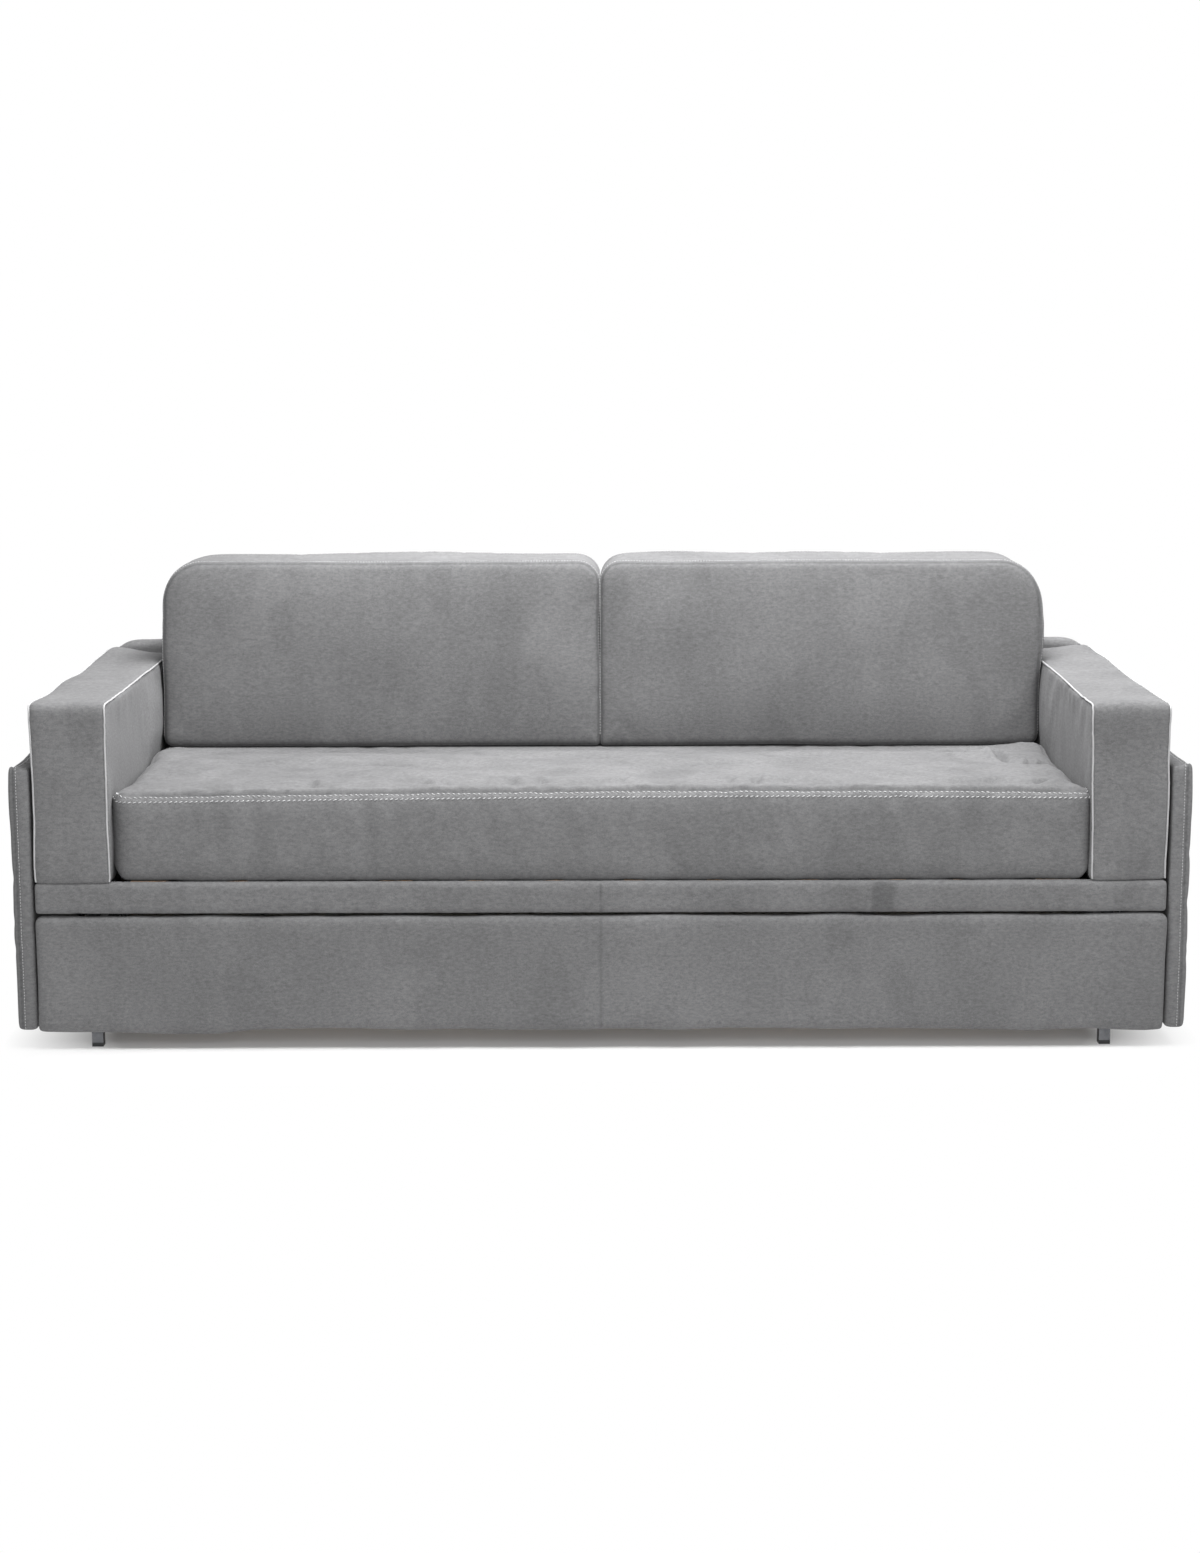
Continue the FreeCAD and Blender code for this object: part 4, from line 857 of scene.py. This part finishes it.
def rows_gathered(points, normals, low, high):
    """Draws the top's rows of points together behind the front seam, where its shape is finest."""
    points = points.copy()
    behind = np.clip(points[:, 1] - low[1] - 10 * MM, 0, None)
    on_top = fade(normals[:, 2], 0.5, 0.9) * fade(high[0] - np.abs(points[:, 0]), 50 * MM, 95 * MM)
    points[:, 1] -= ROW_GATHER * behind * fade(behind, 120 * MM, 0) * on_top
    return points


def seat_finish(piece):
    """Folds, the seam round the top edge and its two rows of decorative stitches."""
    low, high = block_box(piece.name)
    points, normals = refine(piece)
    set_points(piece, seat_settled(rows_gathered(points, normals, low, high), low, high))
    points, normals = surface_of(piece)
    move, shade = seat_folds(points, normals)
    points += normals * move[:, None]
    # Painted shade in the creases, in patches on the top and behind the front seam.
    paint_shade(piece, shade)
    rest = corners_of("back_cushion_left")[0][2] - 1 * MM
    under = fade(points[:, 1], CUSHION_LINE - 20 * MM, CUSHION_LINE + 25 * MM)
    points[:, 2] -= np.maximum(points[:, 2] - rest, 0) * under
    set_points(piece, points)
    seam = outline_path(piece.name, 9.5 * MM, high[2] + 4 * MM)
    press_seam(piece, seat_settled(seam, low, high), *SEAT_FURROW)
    for name, (inset, above, slant) in SEAT_ROWS.items():
        loop = outline_path(piece.name, inset * MM, high[2] + above * MM)
        row = stretch_of(loop, loop[:, 1] < low[1] + FRONT_ROW_REACH)
        rows = [lay_on(piece, seat_settled(row, low, high), STITCH_LIFT)]
        sewn("seat_stitching_" + name, STITCHES, rows, "upper_bed", sizes={"Slant": slant * STITCH_SLANT})
    dressed(piece, "upper_bed")


# The two back pads: how far they lean, and how near the middle they may come.
BACK_LEAN = 36 * MM
MIDDLE_CLEAR = 0.1 * MM
# Random waves of the covers: wavelength and height, and a seed for each side.
BACK_WAVES, BACK_SEEDS = (210 * MM, 2.2 * MM), {"left": 31, "right": 37}
# How far each pad's outer end bulges over the armrest, and the height of that bulge.
BACK_BULGE = {"left": 2 * MM, "right": 9 * MM}
BULGE_HEIGHT, BULGE_REACH = 745 * MM, 80 * MM


def leaned(points, low, high):
    """Leans points back in proportion to their height."""
    points = points.copy()
    points[:, 1] += BACK_LEAN * (points[:, 2] - low[2]) / (high[2] - low[2])
    return points


# Hollows of the back pads: place, radius and depth.
BACK_DENTS = {
    "left": (((-24, 190, 812), 14, 3.0), ((-12, 178, 618), 12, 3.5), ((-905, 176, 560), 40, 2.0)),
    "right": (((22, 186, 700), 16, 2.5), ((880, 180, 640), 60, 2.5), ((60, 182, 540), 35, 2.0)),
}


def back_finish(side, piece):
    """Lean, the flat foot, the seams round both faces and the top stitching beside the front seam."""
    low, high = block_box(piece.name)
    outward, body = SIDES[side], "back_cushion_" + side
    points, _ = refine(piece)
    set_points(piece, leaned(points, low, high))
    points = rippled(*surface_of(piece), *BACK_WAVES, BACK_SEEDS[side], stretch=(1.6, 1, 1))
    x, y, z = (points * (outward, 1, 1)).T
    bulge = BACK_BULGE[side] * np.exp(-((z - BULGE_HEIGHT) / BULGE_REACH) ** 2)
    x = np.maximum(x + bulge * fade(x, 800 * MM, 950 * MM), MIDDLE_CLEAR)
    rest, wall = corners_of(body)[0][2], corners_of("back_panel_cover")[0][1] - 1 * MM
    set_points(piece, np.column_stack((outward * x, np.minimum(y, wall), np.maximum(z, rest))))
    press_dents(piece, [(np.array(p) * MM, radius * MM, depth * MM) for p, radius, depth in BACK_DENTS[side]])
    for level in (low[1] - 1 * MM, high[1] + 1 * MM):
        loop = outline_path(piece.name, 1 * MM, level)
        press_seam(piece, leaned(loop, low, high), *BACK_FURROW)
    loop = outline_path(piece.name, -6 * MM, low[1] + 7 * MM)
    row = stretch_of(loop, loop[:, 2] > low[2] + 25 * MM)
    rows = [lay_on(piece, leaned(row, low, high), FINE_LIFT)]
    sewn("back_stitching_" + side, STITCHES, rows, body, sizes=FINE_STITCH)
    dressed(piece, body)


# Armrest covers: how full they are outside and inside, and how much their tops rise at the rear or drop.
ARM_FULLNESS = 10 * MM
ARM_INNER_FULLNESS = {"left": 11 * MM, "right": 6 * MM}
ARM_INNER_TOP = {"left": 0, "right": 6 * MM}
ARM_REAR_RISE = 10 * MM
ARM_TOP_DROP = {"left": 0, "right": 4 * MM}
# Random waves of the top and puckers by the inner piping: wavelength and height, and seeds for each side.
ARM_WAVES, ARM_PUCKERS = (190 * MM, 2.6 * MM), (60 * MM, 1.8 * MM)
ARM_SEEDS = {"left": (41, 45), "right": (43, 47)}
# Painted contact shadow on the armrest by the seat: how far from the seat it reaches, and how dark it is.
CONTACT_SHADOW_REACH, PAINTED_CONTACT_SHADOW = 8 * MM, 0.7


def arm_settled(side, points, bottom):
    """The stuffing's unevenness: full outside and by the back pad, a raised rear outer corner, and a lower
    front on the right."""
    outward = SIDES[side]
    inner, outer = sorted(abs(corner[0]) for corner in corners_of("armrest_cover_" + side))
    x, y, z = (points * (outward, 1, 1)).T
    ahead = np.maximum(fade(y, -40 * MM, -260 * MM), fade(z, 580 * MM, 690 * MM))
    ahead *= fade(x, outer - 70 * MM, outer - 5 * MM) * fade(y, 300 * MM, 180 * MM)
    top = fade(z, 600 * MM, 680 * MM)
    rise = ARM_REAR_RISE * fade(y, 60 * MM, 340 * MM) * fade(x, inner + 30 * MM, outer - 10 * MM)
    rise -= ARM_TOP_DROP[side] * fade(y, 200 * MM, -300 * MM)
    beside = np.exp(-((y - 110 * MM) / (110 * MM)) ** 2) * fade(z, 490 * MM, 560 * MM) * (1 - top)
    upper_front = fade(z, 350 * MM, 680 * MM) * fade(y, 0, -350 * MM)
    reach = np.minimum(x, outer + 0.5 * MM) + ARM_FULLNESS * ahead
    reach -= ARM_INNER_FULLNESS[side] * beside * fade(x, inner + 60 * MM, inner)
    reach -= ARM_INNER_TOP[side] * upper_front * fade(x, inner + 100 * MM, inner)
    return np.column_stack((outward * reach, y, np.maximum(z + rise * top, bottom)))


def arm_finish(side, piece):
    """A slightly uneven top, puckers by the inner piping and two runs of piping, whose rows it gives."""
    low, high = block_box(piece.name)
    points, normals = refine(piece)
    top_seed, inner_seed = ARM_SEEDS[side]
    outward = SIDES[side] * normals[:, 0]
    share = fade(np.abs(outward), 0.9, 0.6)
    points = rippled(points, normals, *ARM_WAVES, top_seed, share, (1, 1.5, 1))
    from_piping = np.clip(np.minimum(high[2] - points[:, 2], points[:, 1] - low[1]), 0, None)
    share = fade(-outward, 0.6, 0.9) * np.exp(-from_piping / (70 * MM))
    points = rippled(points, normals, *ARM_PUCKERS, inner_seed, share, (1, 1, 1.8))
    set_points(piece, arm_settled(side, points, low[2]))
    # Painted contact shadow on the armrest where the seat meets it.
    paint_contact_shadow(piece, bpy.data.objects["seat_pad"], CONTACT_SHADOW_REACH, PAINTED_CONTACT_SHADOW)
    rows = []
    for level in (low[0], high[0]):
        loop = outline_path(piece.name, -1 * MM, level)
        run = stretch_of(loop, loop[:, 2] > low[2] + 3 * MM)
        rows.append(lay_on(piece, arm_settled(side, run, low[2]), PIPING_LIFT))
    dressed(piece, "upper_bed")
    return rows


# Side panel sleeves: where their seam runs, as a share of their thickness from the inside, and their waves.
SIDE_SEAM_SHARE = 0.75
SIDE_WAVES, SIDE_SEEDS = (170 * MM, 1.4 * MM), {"left": 51, "right": 53}
# The fold that stands up at the sleeve's top front corner, and the sag of the top edge behind it.
EAR_HEIGHT, EAR_SIZE = 6 * MM, 11 * MM
TOP_SAG = {"left": 2 * MM, "right": 1.5 * MM}


def side_finish(side, piece):
    """The sleeve kept off the linkage, with a seam round its outer edge. Gives the row of its stitches."""
    low, high = block_box(piece.name)
    points, normals = refine(piece)
    outward, thick = SIDES[side], high[0] - low[0]
    share = fade(-outward * normals[:, 0], 0.9, 0.5)
    x, y, z = (rippled(points, normals, *SIDE_WAVES, SIDE_SEEDS[side], share) * (outward, 1, 1)).T
    inner = min(abs(low[0]), abs(high[0]))
    middle, behind = inner + thick / 2, y - low[1]
    ear = np.exp(-((behind - 6 * MM) / EAR_SIZE) ** 2 - ((high[2] - z) / (2 * EAR_SIZE)) ** 2)
    z = z + EAR_HEIGHT * ear * fade(x, middle, middle + 15 * MM)
    sag = fade(behind, 14 * MM, 50 * MM) * fade(behind, 220 * MM, 90 * MM)
    z = z - TOP_SAG[side] * sag * fade(z, high[2] - 40 * MM, high[2])
    set_points(piece, np.column_stack((outward * np.maximum(x, inner), y, z)))
    loop = outline_path(piece.name, -3 * MM, outward * (inner + SIDE_SEAM_SHARE * thick))
    run = stretch_of(loop, loop[:, 2] > low[2] + 4 * MM)
    press_seam(piece, run, *SIDE_FURROW)
    dressed(piece, "base")
    return lay_on(piece, run - np.array((outward * STITCH_BESIDE, 0, 0)), FINE_LIFT)


# The front panel's sleeve: how far its lower hem hangs below or above its line, from left to right.
HEM_PLACES = (-1102, -867, -751, -681, -519, -263, 58, 375, 731, 839, 963, 1071, 1102)
HEM_DROPS = (0, 7, 7, -1, -3.5, -0.5, -1.5, -3, 1, 4, 0, 5, 3)
FRONT_WAVES = (160 * MM, 1.3 * MM, 61)
PANEL_SEAM_X = -2 * MM
HEM_TUCKS = ((-1012, 9), (-263, 12), (-138, 8), (-400, 7), (88, 10), (250, 8), (420, 9), (790, 12), (640, 7))


def front_finish(piece):
    """A wavy lower hem with small tucks, and the seam down the middle."""
    low, high = block_box(piece.name)
    x, y, z = rippled(*refine(piece), *FRONT_WAVES, stretch=(1.3, 1, 1)).T
    z = z - between(x, HEM_PLACES, HEM_DROPS) * fade(z, low[2] + 60 * MM, low[2])
    set_points(piece, np.column_stack((x, np.minimum(y, high[1]), z)))
    tuck_hem(piece, low, HEM_TUCKS, height=10 * MM, depth=3 * MM)
    press_seam(piece, upright_path(PANEL_SEAM_X, low[1], low[2], high[2]), *FRONT_FURROW)
    dressed(piece, "base")


# The band below the seat: its seam, the lapped joint of its cover and small tucks along its lower edge.
BAND_WAVES = (90 * MM, 0.9 * MM, 71)
BAND_SEAM_X = 1 * MM
LAP = (529 * MM, 564 * MM)
# How deep the lap is pressed in, and how dark a shade is painted into it.
LAP_DEPTH, LAP_SHADE = 3 * MM, 0.6
BAND_TUCKS = ((-1020, 8), (-905, 6), (-860, 6), (-560, 10), (-480, 7), (-140, 6), (260, 6), (900, 8))


def band_finish(piece):
    """The lapped joint, the seam in the middle and tucks along the lower edge."""
    low, high = block_box(piece.name)
    points, normals = refine(piece)
    forward = fade(-normals[:, 1], 0.4, 0.9)
    x, y, z = rippled(points, normals, *BAND_WAVES, forward, (2, 1, 1)).T
    lap = forward * fade(x, LAP[0], LAP[0] + 4 * MM) * fade(x, LAP[1] + 14 * MM, LAP[1])
    y = np.minimum(y + LAP_DEPTH * lap, high[1])
    set_points(piece, np.column_stack((x, y, np.minimum(z, high[2]))))
    # Painted shade in the pressed-in lap.
    paint_shade(piece, LAP_SHADE * lap)
    tuck_hem(piece, low, BAND_TUCKS, height=6 * MM, depth=2.5 * MM)
    for place in (BAND_SEAM_X, LAP[0] + 2 * MM):
        press_seam(piece, upright_path(place, low[1], low[2], high[2]), *BAND_FURROW)
    dressed(piece, "upper_bed")


def rear_band_finish(piece):
    """A seam in the middle, like the front one's."""
    low, high = corners_of("rear_band")
    x, y, z = refine(piece)[0].T
    set_points(piece, np.column_stack((x, np.maximum(y, low[1]), np.minimum(z, high[2] - 0.5 * MM))))
    press_seam(piece, upright_path(0, high[1], low[2], high[2]), *BAND_FURROW)
    dressed(piece, "upper_bed")


# The back panel's sleeve: its seams down the back to either side, and the fall of its upper corners.
PANEL_SEAMS = (-365 * MM, 365 * MM)
PANEL_SLOPE = 4 * MM
PANEL_WAVES = (220 * MM, 1.8 * MM, 81)


def back_panel_finish(piece):
    """A seam round the rear edge and two seams down the back, with top stitching."""
    low, high = block_box(piece.name)
    points, normals = refine(piece)
    x, y, z = rippled(points, normals, *PANEL_WAVES, fade(normals[:, 1], 0.3, 0.9)).T
    shoulder = fade(np.abs(x), high[0] - 75 * MM, high[0] - 10 * MM)
    z = z - PANEL_SLOPE * shoulder * fade(z, high[2] - 90 * MM, high[2])
    set_points(piece, np.column_stack((x, np.maximum(y, low[1]), z)))
    loop = outline_path(piece.name, 1 * MM, high[1] + 1 * MM)
    press_seam(piece, stretch_of(loop, loop[:, 2] > low[2] + 8 * MM), *PANEL_EDGE_FURROW)
    loop = outline_path(piece.name, 11 * MM, high[1] + 6 * MM)
    rows = [lay_on(piece, stretch_of(loop, loop[:, 2] > low[2] + 15 * MM), FINE_LIFT)]
    for place in PANEL_SEAMS:
        line = upright_path(place, high[1], low[2] + 6 * MM, high[2] - 4 * MM)
        press_seam(piece, line, *PANEL_FURROW)
        rows.append(lay_on(piece, line + np.array((STITCH_BESIDE, 0, 0)), FINE_LIFT))
    sewn("back_panel_stitching", STITCHES, rows, "upper_bed", sizes=FINE_STITCH)
    dressed(piece, "upper_bed")


# The lower bed's mattress: quilting in diamonds.
QUILT_ACROSS = 150 * MM
QUILT_DEPTH = 6 * MM


def mattress_finish(piece):
    """Diamond quilting on top and a tape round the upper and lower edges."""
    low, high = block_box(piece.name)
    points, normals = refine(piece)
    x, y, _ = points.T
    lines = [np.abs(np.sin(math.pi * (x + turn * y) / QUILT_ACROSS)) for turn in (1, -1)]
    border = fade(np.minimum(high[0] - np.abs(x), high[1] - np.abs(y)), 0, 60 * MM)
    quilt = QUILT_DEPTH * (np.sqrt(np.minimum(*lines)) - 0.6) * fade(normals[:, 2], 0.6, 0.95) * border
    points += normals * quilt[:, None]
    points[:, 2] = np.maximum(points[:, 2], low[2])
    set_points(piece, points)
    levels = (low[2] + 2 * MM, high[2] + 1 * MM)
    rows = [lay_on(piece, outline_path(piece.name, -1 * MM, level), TAPE_LIFT) for level in levels]
    tape = sewn("mattress_tape", CORD, rows, "base", closed=True, sizes={"Cord Radius": TAPE_RADIUS})
    dressed(piece, "base", slot="ticking_fabric")


def soft_goods():
    """All padded pieces: blocks first, one cloth run for all, then seams and sewing."""
    pieces = {name: soft_block(name) for name in BLOCKS}
    swell_pads(pieces.values())
    seat_finish(pieces["seat_pad"])
    front_finish(pieces["front_sleeve"])
    band_finish(pieces["front_band_cover"])
    rear_band_finish(pieces["rear_band_cover"])
    back_panel_finish(pieces["back_panel_sleeve"])
    mattress_finish(pieces["lower_mattress_pad"])
    piping, seams = [], []
    for side in SIDES:
        back_finish(side, pieces["back_pad_" + side])
        piping += arm_finish(side, pieces["arm_pad_" + side])
        seams.append(side_finish(side, pieces["side_sleeve_" + side]))
    sewn("arm_piping", CORD, piping, "upper_bed")
    sewn("side_stitching", STITCHES, seams, "base", sizes=FINE_STITCH)


def frame_finishes():
    """Gives every solid that stays in view the finish of its material slot."""
    for row in frame["record"]["subparts"]:
        node = frame["nodes"][row["node"]]
        node.data.materials.clear()
        node.data.materials.append(FINISHES[row["material_slot"]])


def camera():
    """The photograph's viewpoint."""
    data = bpy.data.cameras.new("camera")
    data.sensor_width = SENSOR_MM
    data.lens = FOCAL_PX * SENSOR_MM / PHOTO_HEIGHT_PX
    data.shift_x = -CENTRE_SHIFT_PX / PHOTO_HEIGHT_PX
    made = new_object("camera", data)
    tilt = Matrix.Rotation(math.pi / 2 - CAMERA_PITCH, 3, "X")
    made.location = CAMERA_PLACE
    made.rotation_euler = (tilt @ Matrix.Rotation(CAMERA_ROLL, 3, "Z")).to_euler()
    bpy.context.scene.camera = made


# Lamps: name, place, aim, size and power in watts.
LAMPS = (
    ("top_softbox", (0.2, -0.1, 3.1), (0.0, 0.0, 0.3), (3.2, 1.1), 195),
    ("key_softbox", (2.1, -1.0, 2.7), (0.0, -0.1, 0.45), (1.4, 1.0), 36),
    ("front_fill", (0.5, -5.5, 2.6), (0, 0, 0.4), (5.0, 3.0), 134),
    ("rear_fill", (-0.5, 5.2, 2.8), (0, 0, 0.4), (5.0, 3.0), 75),
)
WORLD_LIGHT = 0.29
FLOOR_REACH = 40
# The floor keeps its shadow within a rectangle's half sides, and clears from there over a distance in metres.
SHADOW_CORE = (0.85, 0.35, 0)
FLOOR_CLEAR = (0.10, 0.34)
SHADOW_LIFT = 0.09


def floor():
    """A pale floor that keeps the shadow by the sofa and turns into the white background further out."""
    corners = [(x * FLOOR_REACH, y * FLOOR_REACH, 0) for x, y in CORNERS]
    made = new_piece("floor", corners, [], [(0, 1, 2, 3)])
    values = {"Roughness": 0.9, "Specular IOR Level": 0.1}
    material, tree, shader, coords = new_material("pale_floor", values)
    finished(material, shader, ramp(tree, noise(tree, coords, 400, 2), [(0.3, "#dfdfdf"), (0.7, "#e4e4e4")]))
    beyond = coords
    for operation, value in (("ABSOLUTE", (0, 0, 0)), ("SUBTRACT", SHADOW_CORE), ("MAXIMUM", (0, 0, 0))):
        beyond = add(tree, "ShaderNodeVectorMath", {0: beyond, 1: value}, operation=operation).outputs[0]
    away = add(tree, "ShaderNodeVectorMath", {0: beyond}, operation="LENGTH").outputs["Value"]
    clear = part_of(tree, away, *FLOOR_CLEAR, 1.0)
    clear = add(tree, "ShaderNodeMath", {0: clear, 1: SHADOW_LIFT}, operation="MAXIMUM").outputs[0]
    white = add(tree, "ShaderNodeEmission", {"Strength": 1.0}).outputs[0]
    blend = add(tree, "ShaderNodeMixShader", {0: clear, 1: shader.outputs["BSDF"], 2: white}).outputs[0]
    output = next(n for n in tree.nodes if n.bl_idname == "ShaderNodeOutputMaterial")
    tree.links.new(blend, output.inputs["Surface"])
    made.data.materials.append(material)


def studio():
    """Plain soft light, a pale floor and a white background."""
    floor()
    for name, place, aim, size, power in LAMPS:
        data = bpy.data.lights.new(name, "AREA")
        data.shape = "RECTANGLE"
        data.size, data.size_y = size
        data.energy = power
        lamp = new_object(name, data)
        lamp.location = place
        lamp.rotation_euler = (Vector(aim) - Vector(place)).to_track_quat("-Z", "Y").to_euler()
    world = bpy.data.worlds.new("studio")
    bpy.context.scene.world = world
    world.use_nodes = True
    tree = world.node_tree
    tree.nodes.clear()
    path = add(tree, "ShaderNodeLightPath")
    seen = path.outputs["Is Camera Ray"]
    for ray in ("Is Glossy Ray", "Is Transmission Ray"):
        seen = add(tree, "ShaderNodeMath", {0: seen, 1: path.outputs[ray]}, operation="MAXIMUM").outputs[0]
    strength = part_of(tree, seen, 0, 1, 1.0, WORLD_LIGHT)
    background = add(tree, "ShaderNodeBackground", {"Color": (1, 1, 1, 1), "Strength": strength}).outputs[0]
    add(tree, "ShaderNodeOutputWorld", {"Surface": background})
    bpy.context.scene.view_settings.view_transform = "Standard"


camera()
studio()
frame_finishes()
soft_goods()
